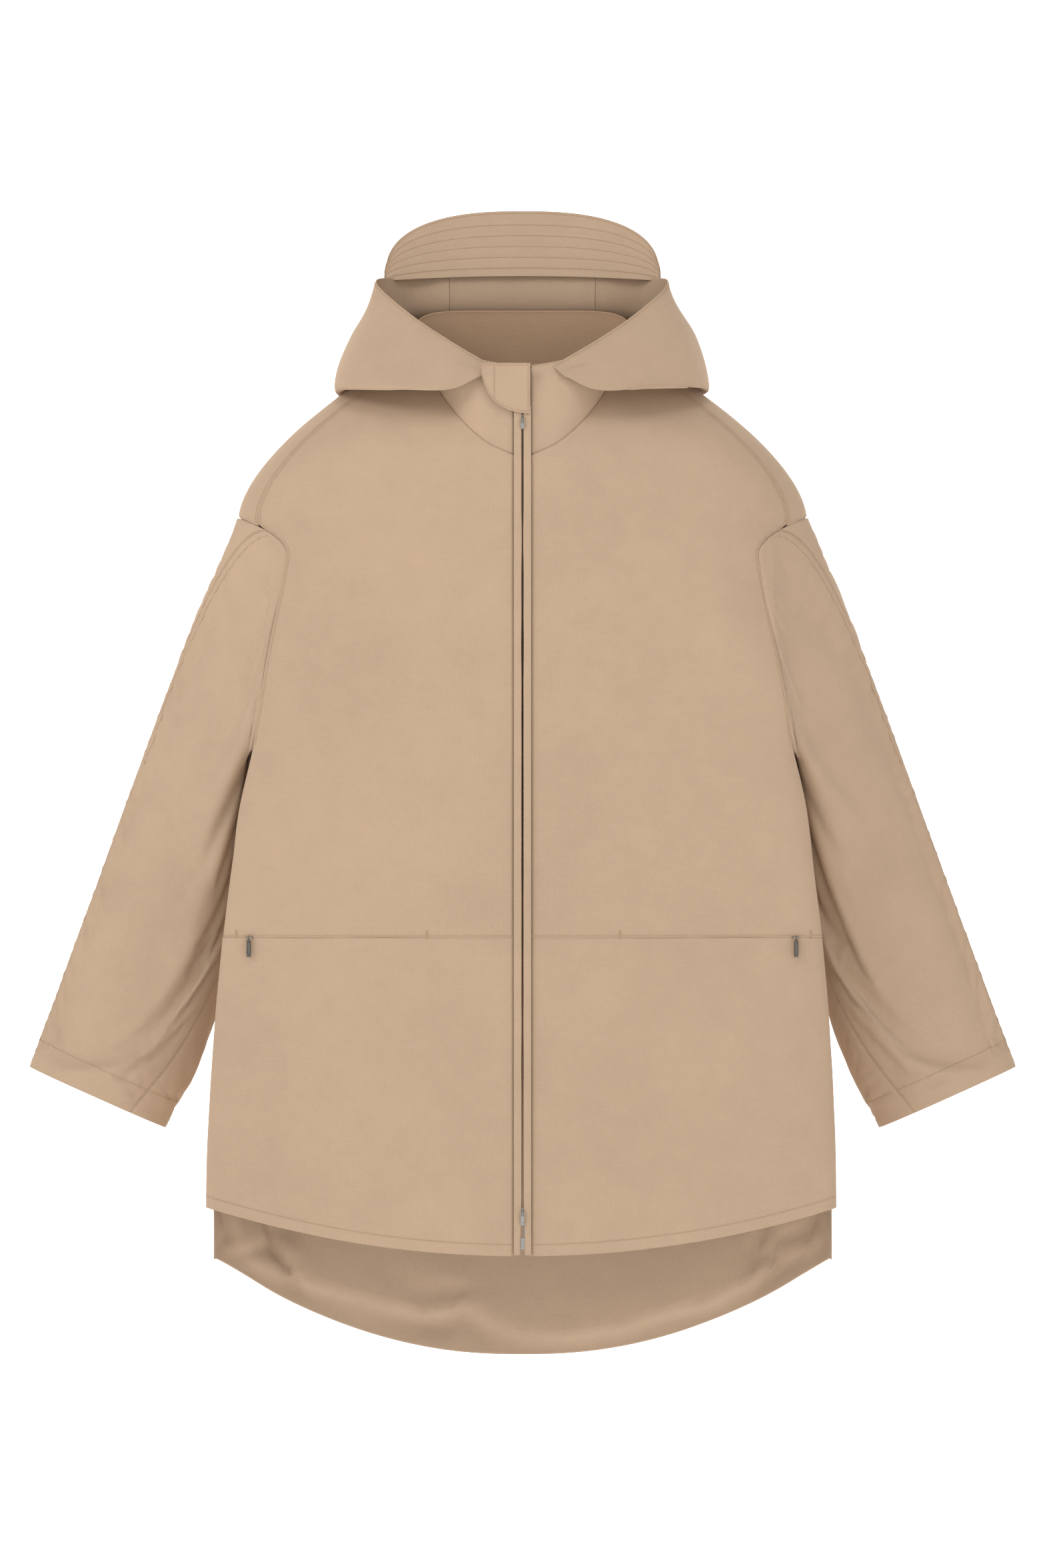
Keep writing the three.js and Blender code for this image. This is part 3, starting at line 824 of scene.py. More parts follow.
def panel(look, name, at, inside, wide, tall, side=1, edges=(), wave=1.0, extra=None, ease=0.0, **finish):
    """A cloth panel: laid on its surface, waved, drawn in at its seams and thickened inwards."""
    sheet = Sheet(at, wide, tall, side)
    sheet.face_away(inside)
    dip = seam_dip(sheet, edges)
    size = wave * look.wave

    def raised(place, u, v):
        shaped = extra(place, u, v) if extra else 0.0
        return undulation(place, size) + dip(u, v) + shaped

    sheet.push(raised)
    if ease:
        drape(sheet, ease)
    SHEETS[name] = sheet
    finish.setdefault("material", woven("canvas", look.canvas))
    return finish_sheet(sheet, name, finish.pop("material"), look.thickness, **finish)


def drape(sheet, ease, frames=22):
    """Lets the cloth settle under its own weight with its seams held and a little spare width in it."""
    scene = bpy.context.scene
    sheet.mesh.verts.index_update()
    data = bpy.data.meshes.new("drape")
    sheet.mesh.to_mesh(data)
    obj = bpy.data.objects.new("drape", data)
    scene.collection.objects.link(obj)
    held = obj.vertex_groups.new(name="held")
    for vert in sheet.mesh.verts:
        u, v = sheet.where[vert]
        near = min(u * sheet.width, (1 - u) * sheet.width, v * sheet.length, (1 - v) * sheet.length)
        held.add([vert.index], 1 - smooth(share(near, 2 * MM, 22 * MM)), "REPLACE")
    cloth = obj.modifiers.new("cloth", "CLOTH")
    fabric = cloth.settings
    fabric.quality, fabric.mass, fabric.air_damping = 6, 0.3, 4.0
    fabric.tension_stiffness = fabric.compression_stiffness = 30.0
    fabric.shear_stiffness, fabric.bending_stiffness = 12.0, 1.5
    fabric.vertex_group_mass, fabric.shrink_min = held.name, -ease
    fabric.effector_weights.gravity = 0.35
    cloth.collision_settings.use_collision = False
    cloth.point_cache.frame_start, cloth.point_cache.frame_end = 1, frames
    for frame_number in range(1, frames + 1):
        scene.frame_set(frame_number)
    settled = obj.evaluated_get(bpy.context.evaluated_depsgraph_get()).to_mesh()
    for vert in sheet.mesh.verts:
        move = settled.vertices[vert.index].co - vert.co
        vert.co += move * min(1.0, 9 * MM / max(move.length, 1e-9))
    scene.frame_set(1)
    bpy.data.objects.remove(obj)
    bpy.data.meshes.remove(data)
    sheet.mesh.normal_update()


def one_place(x, y, z):
    """The same place within the jacket for the whole of a sheet."""
    return lambda u, v: Vector((x, y, z))


def spine(at):
    """A place well inside the body, level with at(u, v)."""

    def inside(u, v):
        place = at(u, v)
        return Vector((place.x * 0.6, 0.0, place.z))

    return inside


def hem_flutes(place, u, v):
    """Soft upright folds that open towards the hem and fade towards the zip."""
    low = smooth(share(place.z, -0.40, -0.95))
    aside = smooth(share(abs(place.x), 0.05, 0.16))
    swing = math.sin(place.x * 34 + 0.8 * noise.noise(Vector((0.0, place.z * 2.0, 3.0))))
    return 3.4 * MM * low * aside * swing * (0.6 + 0.4 * noise.noise(Vector((place.x * 5, 2.0, 5.0))))


def back_flutes(place, u, v):
    low = smooth(share(place.z, -0.30, -0.98))
    ripple = math.sin(place.x * 27 + 1.2) * 0.7 + math.sin(place.x * 51 - place.z * 2.0) * 0.3
    return 5.0 * MM * low * ripple * smooth(share(0.32 - abs(place.x), 0.0, 0.06))


def armhole_drag(place, u, v):
    """Shallow drag lines that run from the armhole's scoop down across the chest."""
    near = share(abs(place.x), 0.16, 0.25) * share(place.z, -0.52, -0.36) * share(place.z, -0.13, -0.24)
    slant = place.z * 42 + abs(place.x) * 26
    return 2.6 * MM * smooth(near) * math.sin(slant + 1.5 * noise.noise(place * 8.0))


def sleeve_creases(place, u, v):
    """Bends of the cloth inside the elbow and above the cuff."""
    t = 1 - v
    elbow = math.exp(-(((t - 0.52) / 0.16) ** 2))
    top = math.exp(-(((t - 0.16) / 0.10) ** 2))
    wander = noise.noise(Vector((place.x * 9, place.y * 9, place.z * 6)))
    rings = math.sin(place.z * 58 + abs(place.x) * 34 + 2.2 * wander)
    long = math.sin(abs(place.x) * 60 - place.z * 12 + 1.6 * wander)
    low = smooth(share(t, 0.55, 0.95))
    folds = 2.8 * elbow * rings + 1.6 * top * rings + 1.5 * low * long * (1 - low * 0.5)
    return folds * smooth(min(u, 1 - u, 0.25) * 4) * MM


def hood_rolls(place, u, v):
    roll = math.sin(place.x * 33 + place.z * 48 + 1.4 * noise.noise(place * 7.0))
    ends = smooth(share(v, 0.0, 0.2)) * smooth(share(v, 0.85, 0.6))
    return 1.6 * MM * roll * ends * math.sin(math.pi * u) ** 0.5


# ---- Settings ----


class JacketLooks(bpy.types.PropertyGroup):
    """Sizes and colours that the panels share."""

    canvas: bpy.props.FloatVectorProperty(
        name="Canvas",
        description="Colour of the outer cloth",
        subtype="COLOR",
        size=3,
        default=linear(180, 154, 129),
    )
    # Lining colour, a little darker and warmer than the canvas; on the inner collar band that darkness is
    # painted shade, as the band sits in the neck's shadow.
    lining: bpy.props.FloatVectorProperty(
        name="Lining",
        description="Colour of the inner band and pockets",
        subtype="COLOR",
        size=3,
        default=linear(178, 146, 117),
    )
    thread: bpy.props.FloatVectorProperty(
        name="Thread",
        description="Colour of the stitching",
        subtype="COLOR",
        size=3,
        default=linear(172, 144, 117),
    )
    zip: bpy.props.FloatVectorProperty(
        name="Zip",
        description="Colour of the zip tape and coil",
        subtype="COLOR",
        size=3,
        default=linear(28, 26, 26),
    )
    metal: bpy.props.FloatVectorProperty(
        name="Metal",
        description="Colour of the sliders and pulls",
        subtype="COLOR",
        size=3,
        default=linear(150, 146, 140),
    )
    thickness: bpy.props.FloatProperty(
        name="Cloth thickness", description="Thickness of one panel", default=1.1 * MM, min=0.0, unit="LENGTH"
    )
    wave: bpy.props.FloatProperty(
        name="Wave", description="How much the cloth swells and hollows", default=1.0, min=0.0
    )
    stitch: bpy.props.FloatProperty(
        name="Stitch", description="Length of one stitch", default=2.5 * MM, min=0.0005, unit="LENGTH"
    )
    lens: bpy.props.FloatProperty(
        name="Lens", description="Focal length", default=250.0, min=1.0, unit="CAMERA"
    )
    aim_z: bpy.props.FloatProperty(
        name="Aim height", description="Height that the camera looks at", default=-0.403, unit="LENGTH"
    )
    aim_y: bpy.props.FloatProperty(
        name="Aim depth",
        description="Depth of the plane that fills the picture",
        default=-0.05,
        unit="LENGTH",
    )
    picture: bpy.props.FloatProperty(
        name="Picture height",
        description="Height of the view at that depth",
        default=1.63,
        min=0.1,
        unit="LENGTH",
    )


# ---- Pieces ----


class JacketPiece:
    """Shared parts of the operators below."""

    bl_options = {"REGISTER", "UNDO"}

    def looks(self, context):
        return context.scene.jacket_looks


class JACKET_OT_stage(JacketPiece, bpy.types.Operator):
    """A white sweep, soft lamps and the camera"""

    bl_idname = "jacket.stage"
    bl_label = "Stage"

    def execute(self, context):
        look = self.looks(context)
        scene = context.scene
        lens = bpy.data.cameras.new("camera")
        lens.lens, lens.sensor_fit, lens.sensor_height, lens.clip_end = look.lens, "VERTICAL", 36.0, 60.0
        camera = bpy.data.objects.new("camera", lens)
        away = look.picture * look.lens / lens.sensor_height
        camera.location = (0, look.aim_y - away, look.aim_z)
        camera.rotation_euler = (math.pi / 2, 0, 0)
        scene.collection.objects.link(camera)
        scene.camera = camera

        white = Shader(
            "sweep", Roughness=0.85, Specular_IOR_Level=0.1, Base_Color=(0.93, 0.93, 0.93, 1.0),
            Emission_Color=(1, 1, 1, 1), Emission_Strength=0.45,
        )
        sweep = bmesh.new()
        bmesh.ops.create_grid(sweep, x_segments=1, y_segments=1, size=17)
        bmesh.ops.translate(sweep, verts=sweep.verts, vec=(0, 0, -1.26))
        floor = new_object("sweep", sweep, white.material, smooth=False)

        glow = Shader(
            "backdrop", Base_Color=(0.9, 0.9, 0.9, 1.0), Emission_Color=(1, 1, 1, 1), Emission_Strength=1.0
        )
        wall = bmesh.new()
        turn = Matrix.Translation((0, 15, 8)) @ Matrix.Rotation(math.pi / 2, 4, "X")
        bmesh.ops.create_grid(wall, x_segments=1, y_segments=1, size=16, matrix=turn)
        made = [camera, floor, new_object("backdrop", wall, glow.material, smooth=False)]
        lamps = (
            ("key", (-4.4, -3.0, 3.2), 2.2, 112),
            ("fill", (4.6, -4.0, 1.2), 3.6, 30),
            ("low", (0.0, -4.6, -0.9), 2.6, 22),
            ("rim", (0.0, 4.2, 3.2), 4.0, 40),
            ("top", (0.0, -1.5, 1.9), 0.9, 12),
        )
        for name, place, size, power in lamps:
            lamp = bpy.data.lights.new(name, "AREA")
            lamp.shape, lamp.size, lamp.energy = "SQUARE", size, power
            obj = bpy.data.objects.new(name, lamp)
            obj.location = place
            aim = Vector((0, 0, -0.45)) - Vector(place)
            obj.rotation_euler = aim.to_track_quat("-Z", "Y").to_euler()
            scene.collection.objects.link(obj)
            made.append(obj)
        world = bpy.data.worlds.new("studio")
        world.use_nodes = True
        world.node_tree.nodes["Background"].inputs["Color"].default_value = (1, 1, 1, 1)
        world.node_tree.nodes["Background"].inputs["Strength"].default_value = 0.6
        scene.world = world
        scene.view_settings.view_transform = "Standard"
        return {"FINISHED"}


class JACKET_OT_body(JacketPiece, bpy.types.Operator):
    """Front panels, shoulder strips and the back"""

    bl_idname = "jacket.body"
    bl_label = "Body"

    def execute(self, context):
        look = self.looks(context)
        for side, hand in SIDES:
            panel(
                look, "front_upper_" + hand, front_upper_at, spine(front_upper_at), 60, 110, side,
                edges=("last",), extra=armhole_drag,
                node="front_upper_" + hand, rests_on=["shoulder_" + hand],
            )
            panel(
                look, "front_lower_" + hand, front_lower_at, spine(front_lower_at), 60, 64, side,
                extra=hem_flutes, node="front_lower_" + hand, rests_on=["front_upper_" + hand],
            )
            panel(
                look, "shoulder_" + hand, shoulder_at, spine(shoulder_at), 10, 50, side,
                edges=("first",), node="shoulder_" + hand, held="laid",
            )
        panel(
            look, "back_panel", back_at, spine(back_at), 100, 130, wave=1.4, ease=0.006,
            extra=back_flutes, node="back_panel", rests_on=["shoulder_left", "shoulder_right"],
        )
        return {"FINISHED"}


class JACKET_OT_sleeves(JacketPiece, bpy.types.Operator):
    """Each sleeve's front and back, which bend below the armhole"""

    bl_idname = "jacket.sleeves"
    bl_label = "Sleeves"

    def execute(self, context):
        look = self.looks(context)

        def core(u, v):
            inner, outer, _, middle = ring_at(1 - v)
            place = inner.lerp(outer, 0.5)
            place.y = middle
            return place

        for side, hand in SIDES:
            for part, at in (("front", sleeve_front_at), ("back", sleeve_back_at)):
                name = f"sleeve_{part}_{hand}"
                obj = panel(
                    look, name, at, core, 56, 110, side, edges=("first", "last", "high"), ease=0.012,
                    extra=sleeve_creases, node=name, rests_on=["shoulder_" + hand], body=None,
                )
                bend_at_shoulder(obj)
        return {"FINISHED"}


def bend_at_shoulder(obj):
    """Bakes the object's placing into its mesh."""
    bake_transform(obj)


class JACKET_OT_hood(JacketPiece, bpy.types.Operator):
    """The hood rolled down on the shoulders, and the collar inside it"""

    bl_idname = "jacket.hood"
    bl_label = "Hood and collar"

    def execute(self, context):
        look = self.looks(context)
        # Cloth for the inner collar band: the darker lining colour, painted shade for the band's place in the
        # neck's shadow.
        band_shade_cloth = woven("lining", look.lining)

        def roll_core(at):
            def inside(u, v):
                places = [at(k / 4, v) for k in range(5)]
                return sum(places, Vector((0, 0, 0))) / 5

            return inside

        for side, hand in SIDES:
            panel(
                look, "hood_side_" + hand, hood_side_at, roll_core(hood_side_at), 56, 90, side,
                edges=("low",), extra=hood_rolls,
                node="hood_side_" + hand, held="laid", rests_on=["shoulder_" + hand],
            )
            panel(
                look, "collar_front_" + hand, collar_front_at, one_place(0, 0, 0.02), 28, 40, side,
                edges=("high",), wave=0.4, node="collar_front_" + hand, held="folded",
            )
        panel(
            look, "hood_centre", hood_centre_at, roll_core(hood_centre_at), 56, 40, edges=("low", "high"),
            node="hood_centre", held="hung", rests_on=["hood_side_left", "hood_side_right"],
        )
        # The inner collar band, in the darker lining colour as painted shade.
        panel(
            look, "collar_back", collar_back_at, one_place(0, -0.05, 0.06), 60, 20, edges=("high",),
            wave=0.5, node="collar_back", material=band_shade_cloth, held="folded",
        )
        return {"FINISHED"}


class JACKET_OT_peak(JacketPiece, bpy.types.Operator):
    """The stiffened peak: outer cloth, interlining and facing"""

    bl_idname = "jacket.peak"
    bl_label = "Peak"

    def execute(self, context):
        look = self.looks(context)
        behind, ahead = one_place(0, -0.5, 0.1), one_place(0, 0.6, 0.1)

        def rows(place, u, v):
            """Shallow grooves where the rows of stitching pull the cloth in."""
            return -0.35 * MM * math.exp(-((((v * 5.2) % 1.0 - 0.5) / 0.16) ** 2))

        layers = (
            ("peak_outer", 0, 0.0, behind, woven("canvas", look.canvas)),
            ("peak_stiffener", 1, 4 * MM, ahead, woven("interlining", linear(214, 208, 196), 0.1)),
            ("peak_facing", 2, 0.0, ahead, woven("canvas", look.canvas)),
        )
        for name, step, inset, core, material in layers:
            obj = panel(
                look, name, partial(peak_at, step=step, inset=inset), core, 96, 40,
                wave=0.0, extra=rows if name == "peak_facing" else None,
                node=name, material=material, held="folded", rests_on=["hood_centre"], body=None,
            )
            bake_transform(obj)
        return {"FINISHED"}


class JACKET_OT_tab(JacketPiece, bpy.types.Operator):
    """The throat tab and its press stud"""

    bl_idname = "jacket.tab"
    bl_label = "Throat tab"

    def execute(self, context):
        look = self.looks(context)
        panel(
            look, "throat_tab", tab_at, one_place(-0.02, 0, 0), 40, 40, wave=0.3,
            node="throat_tab", held="folded", rests_on=["front_flap_right"], body="throat_tab",
        )
        for name in ("snap_socket", "snap_stud"):
            low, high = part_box(name)
            disc = bmesh.new()
            middle, radius = (low + high) / 2, (high.x - low.x) / 2
            turn = Matrix.Translation(middle) @ Matrix.Rotation(math.pi / 2, 4, "X")
            bmesh.ops.create_cone(
                disc, cap_ends=True, segments=32, radius1=radius, radius2=radius,
                depth=high.y - low.y, matrix=turn,
            )
            rounded(disc, 0.35 * MM, 30)
            made = new_object(name, disc, steel(look))
            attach(made, "throat_tab" if name == "snap_socket" else "torso")
            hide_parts(name)
        return {"FINISHED"}


def add_to(mesh, part):
    """Moves part's faces into mesh."""
    held = bpy.data.meshes.new("part")
    part.to_mesh(held)
    part.free()
    mesh.from_mesh(held)
    bpy.data.meshes.remove(held)


def rounded(mesh, width, angle=35, segments=2):
    """Rounds the edges that turn by more than angle degrees."""
    mesh.normal_update()
    turn = math.radians(angle)
    sharp = [e for e in mesh.edges if len(e.link_faces) == 2 and e.calc_face_angle() > turn]
    bmesh.ops.bevel(
        mesh, geom=sharp, offset=width, segments=segments, affect="EDGES", profile=0.5, material=-1
    )


def bar(mesh, low, high, turn=None):
    """One block between two corners, turned if need be."""
    low, high = Vector(low), Vector(high)
    matrix = Matrix.Translation((low + high) / 2) @ Matrix.Diagonal((*(high - low), 1))
    return bmesh.ops.create_cube(mesh, size=1, matrix=(turn or Matrix()) @ matrix)["verts"]


def coil(name, look, places, half):
    """A row of zip teeth at places, each a rounded block of half sizes half, as one object."""
    one = bmesh.new()
    bar(one, -Vector(half), Vector(half))
    rounded(one, 0.28 * MM, 35, 1)
    shape = bpy.data.meshes.new("tooth")
    one.to_mesh(shape)
    row = bmesh.new()
    for place in places:
        held = shape.copy()
        held.transform(place)
        row.from_mesh(held)
        bpy.data.meshes.remove(held)
    one.free()
    bpy.data.meshes.remove(shape)
    obj = new_object(name, row, zip_cloth("coil", look.zip), smooth=False)
    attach(obj, "torso")
    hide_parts(name)


def tape(name, look, place, wide, tall, turn=None):
    """A flat ribbon of woven tape whose corner is place, wide along x and tall along z."""
    rows = max(int(tall / (8 * MM)), 6)
    sheet = Sheet(lambda u, v: Vector((u * wide, 0, v * tall)), 6, rows, 1, 0.8 * MM)
    sheet.face_away(lambda u, v: Vector((u * wide, 0.5, v * tall)))
    sheet.push(lambda at, u, v: 0.12 * MM * math.sin(v * tall * 2200))
    laid = Matrix.Translation(place) @ (turn or Matrix())
    bmesh.ops.transform(sheet.mesh, verts=sheet.mesh.verts, matrix=laid)
    sheet.settle()
    sheet.thicken(0.5 * MM)
    obj = new_object(name, sheet.mesh, zip_cloth("tape", look.zip))
    size = (max(wide, tall), max(min(wide, tall) * 1.15, 0.0101))
    min(wide * tall * 1.1, size[0] * size[1])
    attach(obj, "torso")
    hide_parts(name)


def slider(name, body, look, turn):
    """A zip slider in the space of its node: two rounded plates, a nose between them and a bridge."""
    low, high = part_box(name)
    middle = (low + high) / 2
    half_wide, half_long = 4 * MM, 5.5 * MM
    mesh = bmesh.new()
    depth = high.y - low.y
    rise = depth - 5.2 * MM if depth > 6 * MM else 5 * MM
    front = low.y + rise
    for y in (front, high.y - 1.0 * MM):
        plate = bar(mesh, (-half_wide, y, -half_long), (half_wide, y + 1.0 * MM, half_long))
        for vert in plate:
            if vert.co.z < 0:
                vert.co.x *= 0.74
    nose_low = (-1.1 * MM, front + 0.6 * MM, half_long - 3.4 * MM)
    bar(mesh, nose_low, (1.1 * MM, high.y - 0.6 * MM, half_long - 0.6 * MM))
    rounded(mesh, 0.42 * MM, 35, 3)
    bridge = bmesh.new()
    knee, crown = -rise / MM * 0.72, -rise / MM + 0.5
    arch = [(-3.4, 0.2), (-3.2, knee), (-1.9, crown), (1.9, crown), (3.2, knee), (3.4, 0.2)]
    for (z0, y0), (z1, y1) in zip(arch, arch[1:]):
        run = Vector((0, (y1 - y0) * MM, (z1 - z0) * MM))
        lean = run.to_track_quat("Z", "X").to_matrix().to_4x4()
        place = Matrix.Translation((0, front + (y0 + y1) / 2 * MM, (z0 + z1) / 2 * MM)) @ lean
        half = Vector((0.5 * MM, 0.85 * MM, run.length / 2 + 0.25 * MM))
        bar(bridge, -half, half, place)
    rounded(bridge, 0.22 * MM, 40, 1)
    add_to(mesh, bridge)
    shift = Matrix.Translation((middle.x, 0, middle.z))
    bmesh.ops.transform(mesh, verts=mesh.verts, matrix=shift @ turn)
    obj = new_object(name, mesh, steel(look), smooth=False)
    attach(obj, body)
    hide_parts(name)


class JACKET_OT_front_zip(JacketPiece, bpy.types.Operator):
    """The two flaps, and the two-way zip beneath them"""

    bl_idname = "jacket.front_zip"
    bl_label = "Front zip"

    def execute(self, context):
        look = self.looks(context)
        for side, hand in SIDES:
            panel(
                look, "front_flap_" + hand, flap_at, one_place(0, 0, -0.4), 8, 220, side, wave=0.0,
                node="front_flap_" + hand, held="folded", rests_on=["front_upper_" + hand],
            )
            low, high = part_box("main_tape_" + hand)
            tape("main_tape_" + hand, look, Vector((low.x, low.y, low.z)), high.x - low.x, high.z - low.z)
            low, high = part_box("main_chain_" + hand)
            start = 0.0 if side > 0 else PITCH / 2
            count = int((high.z - low.z - 1.6 * MM) / PITCH)
            x, y = (low.x + high.x) / 2, (low.y + high.y) / 2
            places = [Matrix.Translation((x, y, low.z + 0.6 * MM + start + PITCH * k)) for k in range(count)]
            coil("main_chain_" + hand, look, places, (0.85 * MM, 1.15 * MM, 0.42 * MM))
        for end in ("top", "bottom"):
            slider("main_slider_" + end, "slider_" + end, look, Matrix())
            self.pull("main_pull_" + end, "pull_" + end, look, *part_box("main_pull_" + end))
        for name in ("zip_box", "zip_pin"):
            low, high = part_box(name)
            block = bmesh.new()
            bar(block, low, high)
            rounded(block, 0.3 * MM, 35, 2)
            made = new_object(name, block, steel(look), smooth=False)
            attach(made, "torso")
            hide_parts(name)
        return {"FINISHED"}

    def pull(self, name, body, look, low, high):
        """A flat tab with an eye at its top and a plain round boss."""
        mesh = bmesh.new()
        middle = (low + high) / 2
        wide, tall, y0, y1 = (high.x - low.x) / 2, high.z - low.z, low.y, high.y
        for x0, x1, z0, z1 in (
            (-wide, -0.9 * MM, -4.0 * MM, -0.6 * MM), (0.9 * MM, wide, -4.0 * MM, -0.6 * MM),
            (-wide, wide, -0.62 * MM, 0.0), (-wide, wide, -tall, -3.98 * MM),
        ):
            bar(mesh, (middle.x + x0, y0, high.z + z0), (middle.x + x1, y1, high.z + z1))
        foot = high.z - tall
        boss = Matrix.Translation((middle.x, y0, foot + 2.3 * MM)) @ Matrix.Rotation(math.pi / 2, 4, "X")
        bmesh.ops.create_cone(
            mesh, cap_ends=True, segments=24, radius1=1.5 * MM, radius2=1.2 * MM, depth=0.5 * MM, matrix=boss
        )
        rounded(mesh, 0.16 * MM, 35, 2)
        obj = new_object(name, mesh, steel(look), smooth=False)
        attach(obj, body)
        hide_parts(name)


class JACKET_OT_pockets(JacketPiece, bpy.types.Operator):
    """Each pocket's bag, zip and rod pull"""

    bl_idname = "jacket.pockets"
    bl_label = "Pockets"

    def execute(self, context):
        look = self.looks(context)
        pale = woven("lining", look.lining)
        across = Matrix.Rotation(math.pi / 2, 4, "Y")
        for side, hand in SIDES:
            low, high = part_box("pocket_bag_" + hand)
            inner, outer = sorted((abs(low.x), abs(high.x)))

            def bag_at(u, v, inner=inner, outer=outer, low=low, high=high):
                x, z = mix(inner, outer, u), mix(low.z, high.z, v)
                swell = 0.0
                if 0 < u < 1 and 0 < v < 1:
                    swell = 18 * MM * (math.sin(math.pi * u) * math.sin(math.pi * v)) ** 0.25
                return Vector((x, body_front(x, z) + 2.6 * MM + swell, z))

            panel(
                look, "pocket_bag_" + hand, bag_at, spine(bag_at), 40, 44, side, wave=0.6,
                node="pocket_bag_" + hand, material=pale, held="hung", rests_on=["front_upper_" + hand],
            )
            for row, turn_over in (("upper", 1), ("lower", -1)):
                self.zip_row(look, hand, side, row, turn_over)
            slider("pocket_slider_" + hand, "pocket_slider_" + hand, look, across)
            self.rod("pocket_pull_" + hand, look, *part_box("pocket_pull_" + hand))
        return {"FINISHED"}

    def zip_row(self, look, hand, side, row, turn_over):
        low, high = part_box(f"pocket_chain_{row}_{hand}")
        run = high.x - low.x
        slant = side * math.asin(max(high.y - low.y - CHAIN_DEEP, 0.0) / run)
        middle = (low + high) / 2
        turn = Matrix.Translation(middle) @ Matrix.Rotation(slant, 4, "Z")
        count = int((run - 2 * MM) / PITCH)
        shift = PITCH / 4 * turn_over
        stops = [PITCH * (k - (count - 1) / 2) + shift for k in range(count)]
        places = [turn @ Matrix.Translation((x, 0, 0)) for x in stops]
        coil(f"pocket_chain_{row}_{hand}", look, places, (0.42 * MM, 1.1 * MM, 0.8 * MM))
        low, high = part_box(f"pocket_tape_{row}_{hand}")
        middle = (low + high) / 2
        long, tall = high.x - low.x, high.z - low.z
        tilted = Matrix.Rotation(slant, 4, "Z") @ Matrix.Translation((-long / 2, 0, -tall / 2))
        tape(f"pocket_tape_{row}_{hand}", look, middle, long, tall, tilted)

    def rod(self, name, look, low, high):
        """A ring on the slider's bridge and a turned rod that hangs from it."""
        mesh = bmesh.new()
        x, y = (low.x + high.x) / 2, (low.y + high.y) / 2
        radius = 2.3 * MM
        top = high.z
        profile = (
            (-3.6, -4.6, 0.7, 0.7), (-4.4, -5.4, 1.5, 2.0), (-5.4, -6.4, 2.0, 1.55), (-6.4, -7.0, 1.55, 2.15),
            (-7.0, -19.6, 2.15, 2.25), (-19.6, -20.6, 1.7, 1.7), (-20.6, -22.4, 2.25, 1.9),
        )
        for z0, z1, r0, r1 in profile:
            z1 = max(z1, (low.z - top) / MM + 0.05)
            if z1 >= z0:
                continue
            place = Matrix.Translation((x, y, top + (z0 + z1) / 2 * MM)) @ Matrix.Rotation(math.pi, 4, "X")
            bmesh.ops.create_cone(
                mesh, cap_ends=True, segments=28, radius1=min(r0 * MM, radius), radius2=min(r1 * MM, radius),
                depth=(z0 - z1) * MM, matrix=place,
            )
        rounded(mesh, 0.2 * MM, 50, 2)
        count, pipe = 28, 0.45 * MM
        ring = bmesh.new()
        round_wire = bmesh.ops.create_circle(ring, cap_ends=False, segments=10, radius=pipe)["verts"]
        bmesh.ops.translate(ring, verts=round_wire, vec=(0, 1.65 * MM, 0))
        bmesh.ops.spin(
            ring, geom=ring.edges[:] + ring.verts[:], axis=(1, 0, 0), cent=(0, 0, 0), steps=count,
            angle=2 * math.pi, use_merge=True,
        )
        bmesh.ops.recalc_face_normals(ring, faces=ring.faces)
        bmesh.ops.translate(ring, verts=ring.verts, vec=(x, y, top - 2.1 * MM))
        add_to(mesh, ring)
        obj = new_object(name, mesh, hard_metal("gunmetal", shaded(look.metal, 0.45), 0.3), smooth=False)
        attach(obj, name)
        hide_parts(name)


